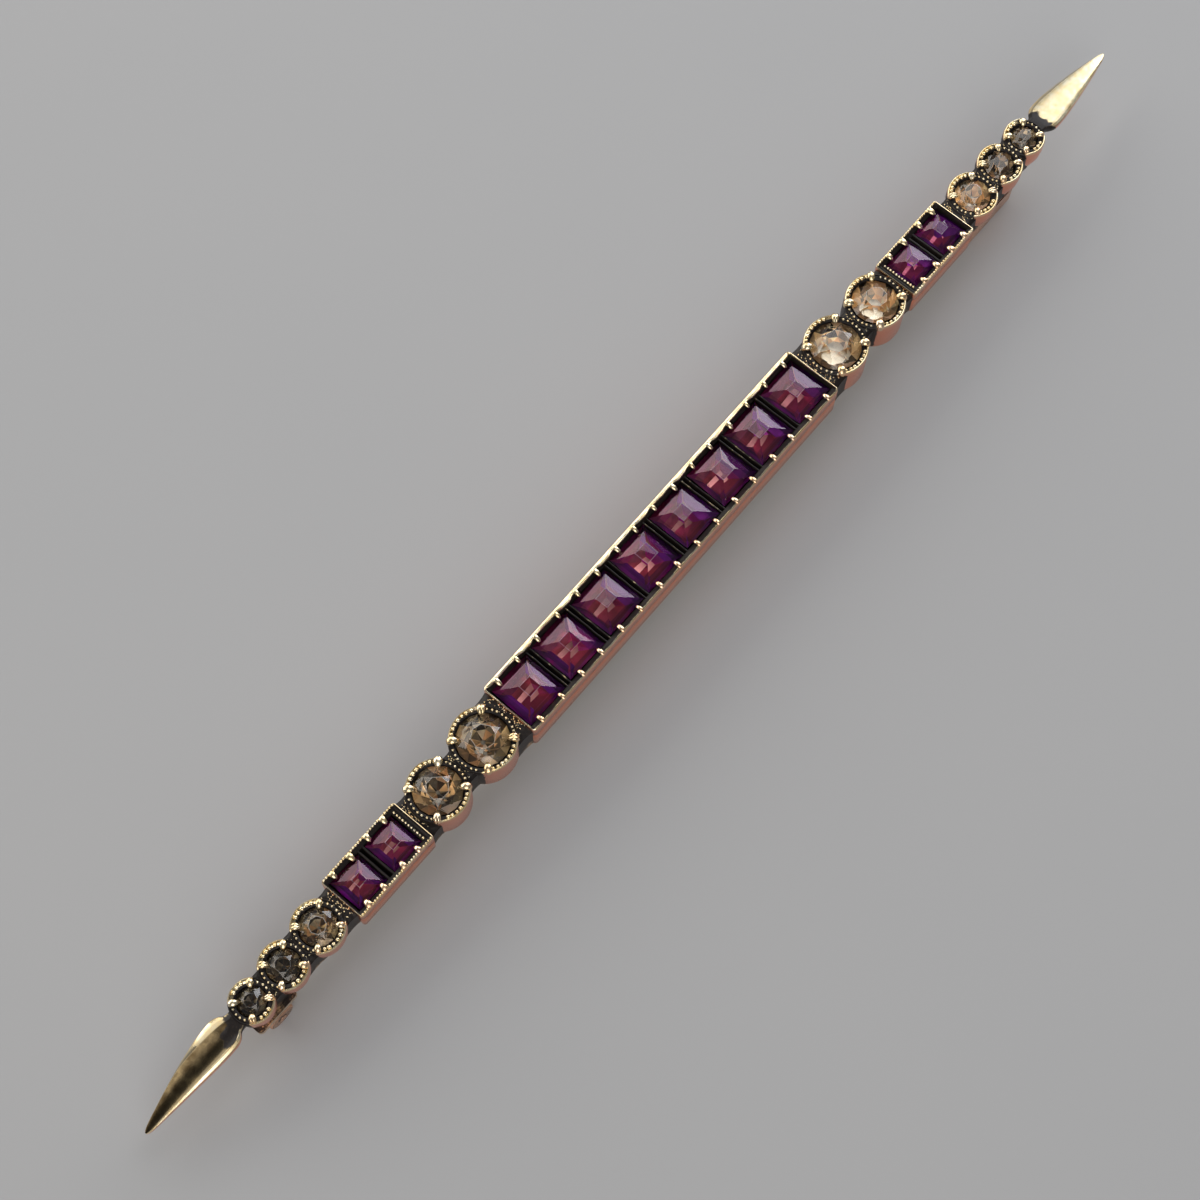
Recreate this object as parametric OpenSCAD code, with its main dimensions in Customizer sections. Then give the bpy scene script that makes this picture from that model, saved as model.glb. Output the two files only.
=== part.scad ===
// Long antique bar brooch, lying face up on its hinge and catch.
// X runs along the bar, Y across it and Z out of its face. All lengths are in millimetres.
// The origin is on the surface that the brooch lies on, under the middle of the bar.

/* [Long box] */
// Number of square stones in the long box
long_count = 8; // [5:1:10]
// Side of a square stone in the long box
long_stone = 4.0; // [3.6:0.05:4.4]
// Gap between neighbouring stones of the long box
long_gap = 0.6; // [0.45:0.05:0.9]
// Width of the metal from a long box stone to the outer side wall
long_side_w = 0.62; // [0.56:0.02:0.9]
// Thickness of the metal past the last stones of the long box
long_end_w = 0.32; // [0.28:0.02:0.6]
// Height of the long box and of the two large round collets
long_wall = 3.6; // [3.4:0.1:4.6]

/* [Small boxes] */
// Number of square stones in each small box
small_count = 2; // [1:1:3]
// Side of a square stone in a small box
small_stone = 3.0; // [2.6:0.05:3.4]
// Gap between the stones of a small box
small_gap = 0.73; // [0.5:0.05:1]
// Width of the metal from a small box stone to the outer side wall
small_side_w = 0.56; // [0.52:0.02:0.8]
// Dark plate between a small box's first stone and its inner end
small_inner_w = 0.85; // [0.4:0.05:1.2]
// Metal past a small box's last stone
small_outer_w = 0.4; // [0.3:0.05:0.8]
// Height of the small boxes and of the three falling round collets
small_wall = 3.0; // [2.8:0.1:3.4]

/* [Round stones] */
// Diameter of the round stone next to the long box
round_a = 4.24; // [3.8:0.02:4.6]
// Diameter of the second round stone
round_b = 3.9; // [3.5:0.02:4.3]
// Diameter of the first round stone past the small box
round_c = 3.0; // [2.7:0.02:3.3]
// Diameter of the middle round stone past the small box
round_d = 2.66; // [2.4:0.02:2.9]
// Diameter of the last round stone
round_e = 2.3; // [2.1:0.02:2.6]
// Metal from a large round stone to the outside of its collet
big_bezel = 0.54; // [0.5:0.02:0.7]
// Metal from a falling round stone to the outside of its collet
small_bezel = 0.6; // [0.54:0.02:0.7]

/* [Joints of the bar] */
// Gap that a waist bridges between a box and a round collet
joint_gap = 0.2; // [0.1:0.05:0.5]
// Gap between a small box and the falling rounds
outer_joint_gap = 0.37; // [0.1:0.01:0.6]
// How far the two large collets run into each other
big_lap = 0.05; // [0.04:0.01:0.2]
// How far the falling collets run into each other
small_lap = 0.32; // [0.1:0.02:0.5]
// How far a waist's face lies under the lower of its two rims
waist_drop = 0.5; // [0.4:0.05:0.8]

/* [Leaf tips] */
// Length of a leaf tip past the last collet
leaf_len = 10.0; // [7:0.1:14]
// Greatest width of a leaf tip
leaf_w = 2.84; // [2:0.02:3.2]
// Thickness of a leaf tip at its widest
leaf_t = 1.0; // [0.7:0.05:1.2]
// Depth of the hollow along a leaf's face
leaf_dish = 0.28; // [0.1:0.02:0.4]
// How far the left tip curves down below its root
tip_drop_left = 3.1; // [1:0.1:3.4]
// How far the right tip curves down below its root
tip_drop_right = 1.3; // [0.5:0.1:3.4]

/* [Metal] */
// Thickness of the polished outer rim
rim_w = 0.26; // [0.2:0.02:0.34]
// How far the face inside the rim lies below it
face_drop = 0.3; // [0.2:0.02:0.36]
// Thickness of the closed back under the stones
back_t = 0.4; // [0.3:0.05:0.6]
// Width of the ledge that a stone sits on
seat_w = 0.2; // [0.14:0.02:0.3]
// Clearance between a stone and the metal round it
stone_gap = 0.04; // [0.03:0.01:0.08]
// Width of the grain ring round a round stone
grain_w = 0.2; // [0.14:0.02:0.22]
// How far the grain ring lies below the rim
grain_drop = 0.08; // [0.02:0.02:0.16]
// Width of a tab over a square stone's edge
tab_w = 0.34; // [0.26:0.02:0.5]
// How far a tab or claw reaches over its stone
grip = 0.22; // [0.16:0.02:0.3]
// Height of a tab above the rim
tab_rise = 0.1; // [0.04:0.02:0.2]
// Diameter of a claw on a round collet
claw_d = 0.5; // [0.4:0.02:0.6]
// Height of a claw above the rim
claw_rise = 0.22; // [0.1:0.02:0.4]

/* [Stones] */
// Thickness of a stone's girdle
girdle_t = 0.12; // [0.06:0.02:0.2]
// How far a square stone's girdle lies below the rim
square_sink = 0.42; // [0.38:0.02:0.6]
// How far a round stone's girdle lies below the rim
round_sink = 0.3; // [0.26:0.02:0.5]

/* [Pin fittings] */
// Height of the hinge and the catch under the bar's back
fitting_h = 2.8; // [2.6:0.1:3.4]
// Radius of the hinge barrel
barrel_r = 1.15; // [1.0:0.05:1.2]
// Width of the hinge across the bar
hinge_w = 3.3; // [2.8:0.1:4]
// Length of the plate that the hinge stands on
hinge_plate_len = 4.0; // [3:0.1:5]
// Distance from the last round's middle back to the hinge's axis
hinge_inset = 0.7; // [0:0.1:1.5]
// Radius of the rivet through the hinge
rivet_r = 0.4; // [0.3:0.05:0.5]
// Width of the pin's eye
eye_w = 1.1; // [0.8:0.05:1.4]
// Radius of the pin stem
pin_r = 0.45; // [0.35:0.05:0.5]
// Length of the pin's point
point_len = 8; // [4:0.5:12]
// How far the pin's point runs past the catch
pin_over = 2.2; // [0.5:0.1:3]
// Length of the catch along the bar
catch_len = 5.6; // [4:0.1:6.5]
// Width of the catch across the bar
catch_w = 2.9; // [2.6:0.1:3.4]
// Thickness of the catch's strip and of both plates
strip_t = 0.5; // [0.4:0.05:0.6]
// Room beside the pin stem inside the catch
hook_room = 0.3; // [0.1:0.05:0.4]

/* [Hidden] */
$fn = 48;
// How far solid pieces of metal run into each other where they are soldered
bite = 0.3;
// Running clearance of the pin's eye in the hinge
eye_gap = 0.05;
// Shares of a square stone: its first crown step, that step's rise, its table, its crown's height,
// its depth and the blunt point below
SQ_STEP = 0.76;
SQ_STEP_RISE = 0.38;
SQ_TABLE = 0.28;
SQ_CROWN = 0.23;
SQ_PAVILION = 0.42;
SQ_POINT = 0.04;
// Shares of a round stone: its table, the rings of star points and of lower facets, its crown and its depth
RD_TABLE = 0.42;
RD_STAR = 0.72;
RD_LOWER = 0.42;
RD_CROWN = 0.23;
RD_PAVILION = 0.4;
// Share of its collet's radius that a foot has, for large and falling rounds
BIG_FOOT = 0.97;
SMALL_FOOT = 0.78;
// Share of its height over which a falling collet's wall stays upright
UPRIGHT = 0.4;
// How far a claw leans in over its stone, in degrees, and its ball's size as a share of its shaft's
CLAW_LEAN = 20;
CLAW_BALL = 1.06;
// Where the tabs of a square stone stand, as a share of its half side
TAB_PLACE = 0.56;
// Half width of the block that joins a hinge barrel to its plate, as a share of the barrel's radius
BARREL_NECK = 0.7;
// Slope at the catch's lower edges, as a share of its strip's thickness
HOOK_SLOPE = 0.7;
// Radius of the pin's blunt point, as a share of its stem's
POINT_SHARE = 0.15;
// Widths of the six waists on each side, as shares of the mean width of their neighbours
WAIST = [0.86, 0.54, 0.8, 0.73, 0.7, 0.68];

long_pitch = long_stone + long_gap;
small_pitch = small_stone + small_gap;
long_w = long_stone + 2 * long_side_w;
small_w = small_stone + 2 * small_side_w;
long_len = long_count * long_pitch - long_gap + 2 * long_end_w;
small_len = small_inner_w + small_count * small_pitch - small_gap + small_outer_w;
rim_z = fitting_h + long_wall;
low_rim_z = fitting_h + small_wall;

// Outer radii and places of the five collets on each side, from the middle outwards
STONES = [round_a, round_b, round_c, round_d, round_e];
COLLET_R = [for (i = [0:4]) STONES[i] / 2 + (i < 2 ? big_bezel : small_bezel)];
RIM = [rim_z, rim_z, low_rim_z, low_rim_z, low_rim_z];
x_a = long_len / 2 + joint_gap + COLLET_R[0];
x_b = x_a + COLLET_R[0] + COLLET_R[1] - big_lap;
x_small = x_b + COLLET_R[1] + joint_gap;
x_c = x_small + small_len + outer_joint_gap + COLLET_R[2];
x_d = x_c + COLLET_R[2] + COLLET_R[3] - small_lap;
x_e = x_d + COLLET_R[3] + COLLET_R[4] - small_lap;
COLLET_X = [x_a, x_b, x_c, x_d, x_e];
x_leaf = x_e + COLLET_R[4];
x_hinge = -(x_e - hinge_inset);
x_catch = (x_c + x_d) / 2;
x_point = x_catch + catch_len / 2 + pin_over;
pin_z = barrel_r;

// Sections of a leaf tip: share of its length, of its half width and of its thickness.
// The first two lie inside the last collet's wall and along the neck.
LEAF = [
    [-0.03, 0.58, 1.0],
    [0.03, 0.63, 1.0],
    [0.06, 0.82, 1.0],
    [0.1, 0.96, 1.0],
    [0.17, 1.0, 1.0],
    [0.29, 0.95, 1.0],
    [0.43, 0.83, 0.95],
    [0.57, 0.69, 0.85],
    [0.71, 0.53, 0.75],
    [0.83, 0.38, 0.65],
    [0.93, 0.25, 0.5],
    [0.98, 0.15, 0.4],
    [1.0, 0.05, 0.3]
];
// Outline of a leaf's section: shares of the half width and of the thickness, and of the hollow's depth
LEAF_RING = [
    [0.97, -0.66, 0],
    [1.0, -0.42, 0],
    [0.66, 0, 0],
    [0.32, 0, -0.8],
    [0, 0, -1],
    [-0.42, 0, -0.75],
    [-0.86, 0, 0],
    [-1.0, -0.3, 0],
    [-0.97, -0.66, 0],
    [-0.6, -1, 0],
    [0.6, -1, 0]
];
// Where along the leaf its downward curve begins, how steeply it grows and where its root lies under the rim
CURVE_START = 0.15;
CURVE_POWER = 1.6;
ROOT_DROP = 0.35;

function long_x(i) = (i - (long_count + 1) / 2) * long_pitch;
function small_x(i) = x_small + small_inner_w + small_stone / 2 + (i - 1) * small_pitch;

// A closed solid lofted through rings of the same number of points. Seen from the last ring back
// towards the first, the points of each ring run anticlockwise.
module loft(rings) {
    n = len(rings[0]);
    last = len(rings) - 1;
    polyhedron(
        points = [for (r = rings) for (p = r) p],
        faces = concat(
            [[for (k = [0:n - 1]) k]],
            [for (j = [0:last - 1]) for (k = [0:n - 1]) [j * n + k, (j + 1) * n + (k + 1) % n, j * n + (k + 1) % n]],
            [for (j = [0:last - 1]) for (k = [0:n - 1]) [j * n + k, (j + 1) * n + k, (j + 1) * n + (k + 1) % n]],
            [[for (k = [n - 1:-1:0]) last * n + k]]
        )
    );
}

function square_ring(half, z) = [[-half, -half, z], [half, -half, z], [half, half, z], [-half, half, z]];

// A square stone with its girdle's upper edge at z = 0: point, girdle, first crown step and table
module square_stone(side) {
    h = side / 2;
    loft([
        square_ring(h * SQ_POINT, -girdle_t - SQ_PAVILION * side),
        square_ring(h, -girdle_t),
        square_ring(h, 0),
        square_ring(h * SQ_STEP, SQ_CROWN * side * SQ_STEP_RISE),
        square_ring(h * SQ_TABLE, SQ_CROWN * side)
    ]);
}

// The room that a square stone needs in the metal, from the closed back up past its crown
module square_pocket(side, rim, sink) {
    top = rim - sink;
    h = side / 2 + stone_gap;
    rise = SQ_CROWN * side;
    seat = top - girdle_t - seat_w * 2 * SQ_PAVILION - stone_gap;
    well = side / 2 - seat_w;
    face = rim - face_drop;
    translate([-well, -well, fitting_h + back_t])
        cube([2 * well, 2 * well, seat - fitting_h - back_t + bite]);
    translate([-h, -h, seat])
        cube([2 * h, 2 * h, face - seat]);
    loft([
        square_ring(h, seat + bite / 2),
        square_ring(h, top + stone_gap),
        square_ring(h * SQ_STEP + stone_gap / 2, top + rise * SQ_STEP_RISE + stone_gap),
        square_ring(h * SQ_TABLE + stone_gap, top + rise + stone_gap)
    ]);
}

function ring_point(r, a, z) = [r * cos(a), r * sin(a), z];

// A round old cut stone with its girdle's upper edge at z = 0: an eight-sided table, eight star facets,
// eight kites, sixteen upper and sixteen lower girdle facets and eight long facets down to the point
module round_stone(d) {
    r = d / 2;
    rise = RD_CROWN * d;
    deep = RD_PAVILION * d;
    half = 22.5;
    z_star = rise * (1 - RD_STAR * cos(half)) / (1 - RD_TABLE);
    z_low = -girdle_t - deep * (1 - RD_LOWER * cos(half));
    table = [for (k = [0:7]) ring_point(RD_TABLE * r, 45 * k, rise)];
    star = [for (k = [0:7]) ring_point(RD_STAR * r, 45 * k + half, z_star)];
    upper = [for (k = [0:15]) ring_point(r, half * k, 0)];
    lower = [for (k = [0:15]) ring_point(r, half * k, -girdle_t)];
    low = [for (k = [0:7]) ring_point(RD_LOWER * r, 45 * k + half, z_low)];
    // Where each ring starts in the list of points
    S = 8;
    U = 16;
    G = 32;
    L = 48;
    C = 56;
    polyhedron(
        points = concat(table, star, upper, lower, low, [[0, 0, -girdle_t - deep]]),
        faces = concat(
            [[for (k = [7:-1:0]) k]],
            [for (k = [0:7]) [k, (k + 1) % 8, S + k]],
            [for (k = [0:7]) [k, S + k, U + 2 * k]],
            [for (k = [0:7]) [k, U + 2 * k, S + (k + 7) % 8]],
            [for (k = [0:7]) [S + k, U + 2 * k + 1, U + 2 * k]],
            [for (k = [0:7]) [S + k, U + (2 * k + 2) % 16, U + 2 * k + 1]],
            [for (k = [0:15]) [U + k, U + (k + 1) % 16, G + (k + 1) % 16]],
            [for (k = [0:15]) [U + k, G + (k + 1) % 16, G + k]],
            [for (k = [0:7]) [L + k, G + 2 * k, G + 2 * k + 1]],
            [for (k = [0:7]) [L + k, G + 2 * k + 1, G + (2 * k + 2) % 16]],
            [for (k = [0:7]) [C, G + 2 * k, L + k]],
            [for (k = [0:7]) [C, L + (k + 7) % 8, G + 2 * k]]
        )
    );
}

// The room that a round stone needs in the metal, from the closed back up past its crown
module round_pocket(d, rim, sink) {
    r = d / 2;
    top = rim - sink;
    rise = RD_CROWN * d;
    seat = top - girdle_t - seat_w * 2 * RD_PAVILION - stone_gap;
    // The star points stand this much outside the cone from the girdle to the table
    bulge = RD_STAR * r * (1 - cos(22.5));
    rotate_extrude()
        polygon([
            [0, fitting_h + back_t],
            [r - seat_w, fitting_h + back_t],
            [r - seat_w, seat],
            [r + stone_gap, seat],
            [r + stone_gap, top + stone_gap],
            [r * RD_TABLE + stone_gap + bulge, top + rise + stone_gap],
            [0, top + rise + stone_gap]
        ]);
}

// One round collet: a polished rim, a sunk face and a raised grain ring round the stone
module collet(d, r, rim, foot, upright) {
    ring = d / 2 + stone_gap;
    rotate_extrude()
        polygon([
            [0, fitting_h],
            [r * foot, fitting_h],
            [r, rim - upright],
            [r, rim],
            [r - rim_w, rim],
            [r - rim_w, rim - face_drop],
            [ring + grain_w, rim - face_drop],
            [ring + grain_w, rim - grain_drop],
            [0, rim - grain_drop]
        ]);
}

// Four round claws on the diagonals, leaning in over the stone
module claws(d, rim) {
    rise = claw_rise + claw_d;
    for (a = [45:90:315])
        rotate([0, 0, a])
            translate([d / 2 - grip, 0, rim + claw_rise - claw_d / 2])
                rotate([0, CLAW_LEAN, 0]) {
                    sphere(d = claw_d * CLAW_BALL, $fn = 24);
                    translate([0, 0, -rise])
                        cylinder(d = claw_d, h = rise, $fn = 24);
                }
}

// A box setting: its outer rim stands above the face that holds the stones
module box(x0, x1, w, rim) {
    translate([x0, -w / 2, fitting_h])
        cube([x1 - x0, w, rim - face_drop - fitting_h]);
    for (s = [-1, 1])
        translate([x0, s * (w - rim_w) / 2 - rim_w / 2, rim - face_drop - bite])
            cube([x1 - x0, rim_w, face_drop + bite]);
}

// The four tabs of one square stone
module tabs(side, w, rim) {
    outer = w / 2 - rim_w / 2;
    inner = side / 2 - grip;
    for (sx = [-1, 1])
        for (sy = [-1, 1])
            translate([sx * TAB_PLACE * side / 2 - tab_w / 2, sy * (outer + inner) / 2 - (outer - inner) / 2,
                rim - face_drop - bite / 2])
                cube([tab_w, outer - inner, face_drop + bite / 2 + tab_rise]);
}

// A waist from the middle of one setting to the middle of the next
module waist(x0, x1, half, rim) {
    translate([x0, -half, fitting_h])
        cube([x1 - x0, 2 * half, rim - waist_drop - fitting_h]);
}

// The six waists of one side
module waists() {
    half_w = [long_w / 2, COLLET_R[0], COLLET_R[1], small_w / 2, COLLET_R[2], COLLET_R[3], COLLET_R[4]];
    place = [long_len / 2 - long_end_w, x_a, x_b, x_small + small_inner_w, x_c, x_d, x_e];
    level = [rim_z, rim_z, low_rim_z, low_rim_z, low_rim_z, low_rim_z];
    for (k = [0:5])
        waist(k == 3 ? x_small + small_len - small_outer_w : place[k], place[k + 1],
            WAIST[k] * (half_w[k] + half_w[k + 1]) / 2, level[k]);
}

// A leaf tip with its neck, from the last collet's wall to the point
module leaf(drop) {
    loft([for (s = LEAF)
        let (
            x = x_leaf + s[0] * leaf_len,
            z = low_rim_z - ROOT_DROP - drop * pow(max(0, (s[0] - CURVE_START) / (1 - CURVE_START)), CURVE_POWER)
        )
        [for (p = LEAF_RING) [x, p[0] * s[1] * leaf_w / 2, z + p[1] * s[2] * leaf_t + p[2] * s[1] * leaf_dish]]
    ]);
}

// One side of the bar past the long box, on the right
module side_metal(drop) {
    for (i = [0:4])
        translate([COLLET_X[i], 0, 0]) {
            collet(STONES[i], COLLET_R[i], RIM[i], i < 2 ? BIG_FOOT : SMALL_FOOT,
                (i < 2 ? 1 : UPRIGHT) * (RIM[i] - fitting_h) - (i < 2 ? bite : 0));
            claws(STONES[i], RIM[i]);
        }
    box(x_small, x_small + small_len, small_w, low_rim_z);
    for (i = [1:small_count])
        translate([small_x(i), 0, 0])
            tabs(small_stone, small_w, low_rim_z);
    waists();
    leaf(drop);
}

module side_pockets() {
    for (i = [0:4])
        translate([COLLET_X[i], 0, 0])
            round_pocket(STONES[i], RIM[i], round_sink);
    for (i = [1:small_count])
        translate([small_x(i), 0, 0])
            square_pocket(small_stone, low_rim_z, square_sink);
}

// The hinge: a plate, two barrels joined to it and the rivet between them
module hinge() {
    barrel_w = (hinge_w - eye_w) / 2 - eye_gap;
    neck = barrel_r * BARREL_NECK;
    translate([x_hinge - hinge_plate_len / 2, -hinge_w / 2, fitting_h - strip_t])
        cube([hinge_plate_len, hinge_w, strip_t + bite]);
    for (s = [-1, 1])
        translate([x_hinge, s * (hinge_w - barrel_w) / 2, 0]) {
            translate([0, 0, pin_z])
                rotate([90, 0, 0])
                    cylinder(r = barrel_r, h = barrel_w, center = true);
            translate([-neck, -barrel_w / 2, pin_z])
                cube([2 * neck, barrel_w, fitting_h - pin_z]);
        }
    translate([x_hinge, 0, pin_z])
        rotate([90, 0, 0])
            cylinder(r = rivet_r, h = hinge_w - barrel_w, center = true);
}

// The catch: a strip bent down from its plate, under the pin and up again, open on the far side
module catch_hook() {
    corner = strip_t * HOOK_SLOPE;
    y0 = -catch_w / 2;
    y1 = pin_r + hook_room + strip_t;
    lip = pin_z;
    translate([x_catch - catch_len / 2, y0, fitting_h - strip_t])
        cube([catch_len, catch_w, strip_t + bite]);
    translate([x_catch + catch_len / 2, 0, 0])
        rotate([90, 0, -90])
            linear_extrude(catch_len)
                polygon([
                    [-y0, fitting_h - strip_t / 2],
                    [-y0, corner],
                    [-y0 - corner, 0],
                    [-y1 + corner, 0],
                    [-y1, corner],
                    [-y1, lip],
                    [-y1 + strip_t, lip],
                    [-y1 + strip_t, strip_t],
                    [-y0 - strip_t, strip_t],
                    [-y0 - strip_t, fitting_h - strip_t / 2]
                ]);
}

module frame() {
    color("darkgoldenrod")
        difference() {
            union() {
                box(-long_len / 2, long_len / 2, long_w, rim_z);
                for (i = [1:long_count])
                    translate([long_x(i), 0, 0])
                        tabs(long_stone, long_w, rim_z);
                side_metal(tip_drop_right);
                mirror([1, 0, 0])
                    side_metal(tip_drop_left);
                hinge();
                catch_hook();
            }
            for (i = [1:long_count])
                translate([long_x(i), 0, 0])
                    square_pocket(long_stone, rim_z, square_sink);
            side_pockets();
            mirror([1, 0, 0])
                side_pockets();
        }
}

// The pin: an eye round the hinge's rivet, a straight stem and a point that lies in the catch
module pin() {
    color("goldenrod")
        difference() {
            union() {
                translate([x_hinge, 0, pin_z])
                    rotate([90, 0, 0])
                        cylinder(r = barrel_r - 2 * eye_gap, h = eye_w, center = true);
                translate([x_hinge + (rivet_r + barrel_r) / 2, 0, pin_z])
                    rotate([0, 90, 0])
                        cylinder(r = pin_r, h = x_point - point_len - x_hinge - (rivet_r + barrel_r) / 2);
                translate([x_point - point_len, 0, pin_z])
                    rotate([0, 90, 0])
                        cylinder(r1 = pin_r, r2 = pin_r * POINT_SHARE, h = point_len);
            }
            translate([x_hinge, 0, pin_z])
                rotate([90, 0, 0])
                    cylinder(r = rivet_r + eye_gap, h = 2 * eye_w, center = true);
        }
}

module long_stone(i) {
    color([0.36, 0.07, 0.36])
        translate([long_x(i), 0, rim_z - square_sink])
            square_stone(long_stone);
}

module small_stone(s, i) {
    color([0.4, 0.08, 0.42])
        translate([s * small_x(i), 0, low_rim_z - square_sink])
            square_stone(small_stone);
}

module collet_stone(s, i) {
    color([0.72, 0.69, 0.6])
        translate([s * COLLET_X[i - 1], 0, RIM[i - 1] - round_sink])
            round_stone(STONES[i - 1]);
}

frame();
pin();
for (i = [1:long_count])
    long_stone(i);
for (i = [1:small_count])
    small_stone(-1, i);
for (i = [1:small_count])
    small_stone(1, i);
for (i = [1:5])
    collet_stone(-1, i);
for (i = [1:5])
    collet_stone(1, i);
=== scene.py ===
import random
from math import copysign, cos, degrees, pi, radians, sin, sqrt
from types import SimpleNamespace

import bmesh
import bpy
from mathutils import Matrix, Vector, noise

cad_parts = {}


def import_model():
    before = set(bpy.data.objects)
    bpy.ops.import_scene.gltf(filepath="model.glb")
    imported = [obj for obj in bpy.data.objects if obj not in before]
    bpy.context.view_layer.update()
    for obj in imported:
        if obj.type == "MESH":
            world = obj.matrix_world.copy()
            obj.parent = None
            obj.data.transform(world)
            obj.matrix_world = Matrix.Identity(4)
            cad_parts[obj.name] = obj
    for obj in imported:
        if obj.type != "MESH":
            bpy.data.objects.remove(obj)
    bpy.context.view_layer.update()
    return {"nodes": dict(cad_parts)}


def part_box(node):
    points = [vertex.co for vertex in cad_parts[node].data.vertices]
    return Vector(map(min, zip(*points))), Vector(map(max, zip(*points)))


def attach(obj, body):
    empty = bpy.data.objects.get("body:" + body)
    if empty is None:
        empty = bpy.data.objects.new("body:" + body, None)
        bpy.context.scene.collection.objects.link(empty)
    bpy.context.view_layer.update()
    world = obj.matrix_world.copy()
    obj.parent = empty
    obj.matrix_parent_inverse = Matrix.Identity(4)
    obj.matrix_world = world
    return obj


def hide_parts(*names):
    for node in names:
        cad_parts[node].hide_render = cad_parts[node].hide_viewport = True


# The builders work in millimetres, and MM turns them into metres when a piece is made.
MM = 0.001
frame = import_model()
# Chance is seeded, so that every run gives the same brooch. chance(low, high) is a number between the two.
dice = random.Random(7)
chance = dice.uniform

# The two ends of the bar: the hinge is under the left one, at -X
NAME = {-1: "left", 1: "right"}

# Height of the bar's back
BACK = 2.8
# Height of a stone's crown, as a share of its size
CROWN = 0.23
# How far a girdle lies below the rim
SQUARE_SINK = 0.42
ROUND_SINK = 0.3
# Metal from the stones to a box's outer walls
LONG_SIDE = 0.62
LONG_END = 0.32
SMALL_SIDE = 0.56
SMALL_INNER = 0.85
SMALL_OUTER = 0.4
# The metal round each round stone, from the middle outwards, and its foot's radius as a share of its rim's
BEZEL = [0.54, 0.54, 0.6, 0.6, 0.6]
FOOT = [0.97, 0.97, 0.78, 0.78, 0.78]
# The waists' widths, as shares of their neighbours', and how far their tops lie below the rim
WAIST = [0.86, 0.54, 0.8, 0.73, 0.7, 0.68]
WAIST_DROP = 0.36
# Room round a round stone
CLEARANCE = 0.03

# Leaf tips: the hollow's depth and the point's fall are given for each end
LEAF_LEN = 10.0
LEAF_HALF = 1.42
LEAF_T = 1.0
LEAF_DISH = {-1: 0.28, 1: 0.12}
LEAF_DROP = {-1: 3.1, 1: 1.3}
LEAF_CURVE_START = 0.15
LEAF_CURVE_POWER = 1.6
LEAF_ROOT_DROP = 0.35

# Camera: a pinhole fitted to the prongs in the photograph
CAMERA_PLACE = Vector((-49.963, -34.0, 164.104)) * MM
CAMERA_TARGET = Vector((-7.282, 0.415, 6.4)) * MM
CAMERA_ROLL = radians(-1.378)
CAMERA_LENS = 65.805
SENSOR = 36


# The stones, as the frame holds them

def stone_of(node, sink):
    """A stone's node, its middle along the bar, its size, and the heights of its girdle and of its rim."""
    low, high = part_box(node)
    size = (high.x - low.x) / MM
    girdle = high.z / MM - CROWN * size
    return SimpleNamespace(node=node, x=(low.x + high.x) / 2 / MM, size=size, girdle=girdle, rim=girdle + sink)


def stones_named(start, sink):
    """The stones whose nodes start with this, in order."""
    return [stone_of(n, sink) for n in sorted(frame["nodes"]) if n.startswith(start)]


LONG = stones_named("long_stone", SQUARE_SINK)
SMALL = {side: stones_named(f"small_stone_{NAME[side]}", SQUARE_SINK) for side in NAME}
ROUND = {side: stones_named(f"round_stone_{NAME[side]}", ROUND_SINK) for side in NAME}
RIM = LONG[0].rim
LOW_RIM = SMALL[1][0].rim
LONG_HALF = LONG[-1].x + LONG[-1].size / 2 + LONG_END
LONG_W = LONG[0].size / 2 + LONG_SIDE
SMALL_W = SMALL[1][0].size / 2 + SMALL_SIDE


# Mesh helpers. A point is (x, y, z, patina, rosy reflection): patina 0 is worn gold and 1 is black, and on
# some rims it also carries painted shade and painted light. Rosy reflection 1 is a painted reflection, chiefly on the
# outer walls.

def smooth_step(low, high, x):
    """0 where x is at low, 1 where it is at high, and smooth between. low may be the larger."""
    t = min(max((x - low) / (high - low), 0), 1)
    return t * t * (3 - 2 * t)


def wobble(x, y, seed, size=1.0):
    """Smooth unevenness from -1 to 1 of something made by hand."""
    return noise.noise(Vector((x / size, y / size, seed * 7.3)))


def start():
    """An empty mesh whose points carry patina, with any painted shade, and a painted rosy reflection."""
    bm = bmesh.new()
    bm.verts.layers.float.new("patina_and_shade")
    bm.verts.layers.float.new("rosy_reflection")
    return bm


def paint(bm, v, patina_and_shade, rosy_reflection=0.0):
    """Gives a point its patina, with any painted shade, and its painted rosy reflection."""
    v[bm.verts.layers.float["patina_and_shade"]] = patina_and_shade
    v[bm.verts.layers.float["rosy_reflection"]] = rosy_reflection


def add_ring(bm, points):
    """Adds points to the mesh, and hands back their vertices."""
    ring = []
    for x, y, z, patina_and_shade, rosy_reflection in points:
        v = bm.verts.new((x, y, z))
        paint(bm, v, patina_and_shade, rosy_reflection)
        ring.append(v)
    return ring


def belt(bm, a, b):
    """Faces between two rings of vertices."""
    count = len(a)
    return [bm.faces.new((a[k], a[(k + 1) % count], b[(k + 1) % count], b[k])) for k in range(count)]


def skin(bm, rings, loop=False, columns=False):
    """Faces between closed rings of points, handed back ring by ring. loop joins the last ring to the first, and
    otherwise both ends are capped. With columns the caps are made of strips, from a ring's first half across to its
    second half, so that they can be hollow."""
    made = [add_ring(bm, r) for r in rings]
    count = len(made[0])
    pairs = list(zip(made, made[1:]))
    if loop:
        pairs.append((made[-1], made[0]))
    belts = [belt(bm, a, b) for a, b in pairs]
    for cap in () if loop else (made[0][::-1], made[-1]):
        if columns:
            for k in range(count // 2 - 1):
                bm.faces.new((cap[k], cap[k + 1], cap[count - 2 - k], cap[count - 1 - k]))
        else:
            bm.faces.new(cap)
    return belts


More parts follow.
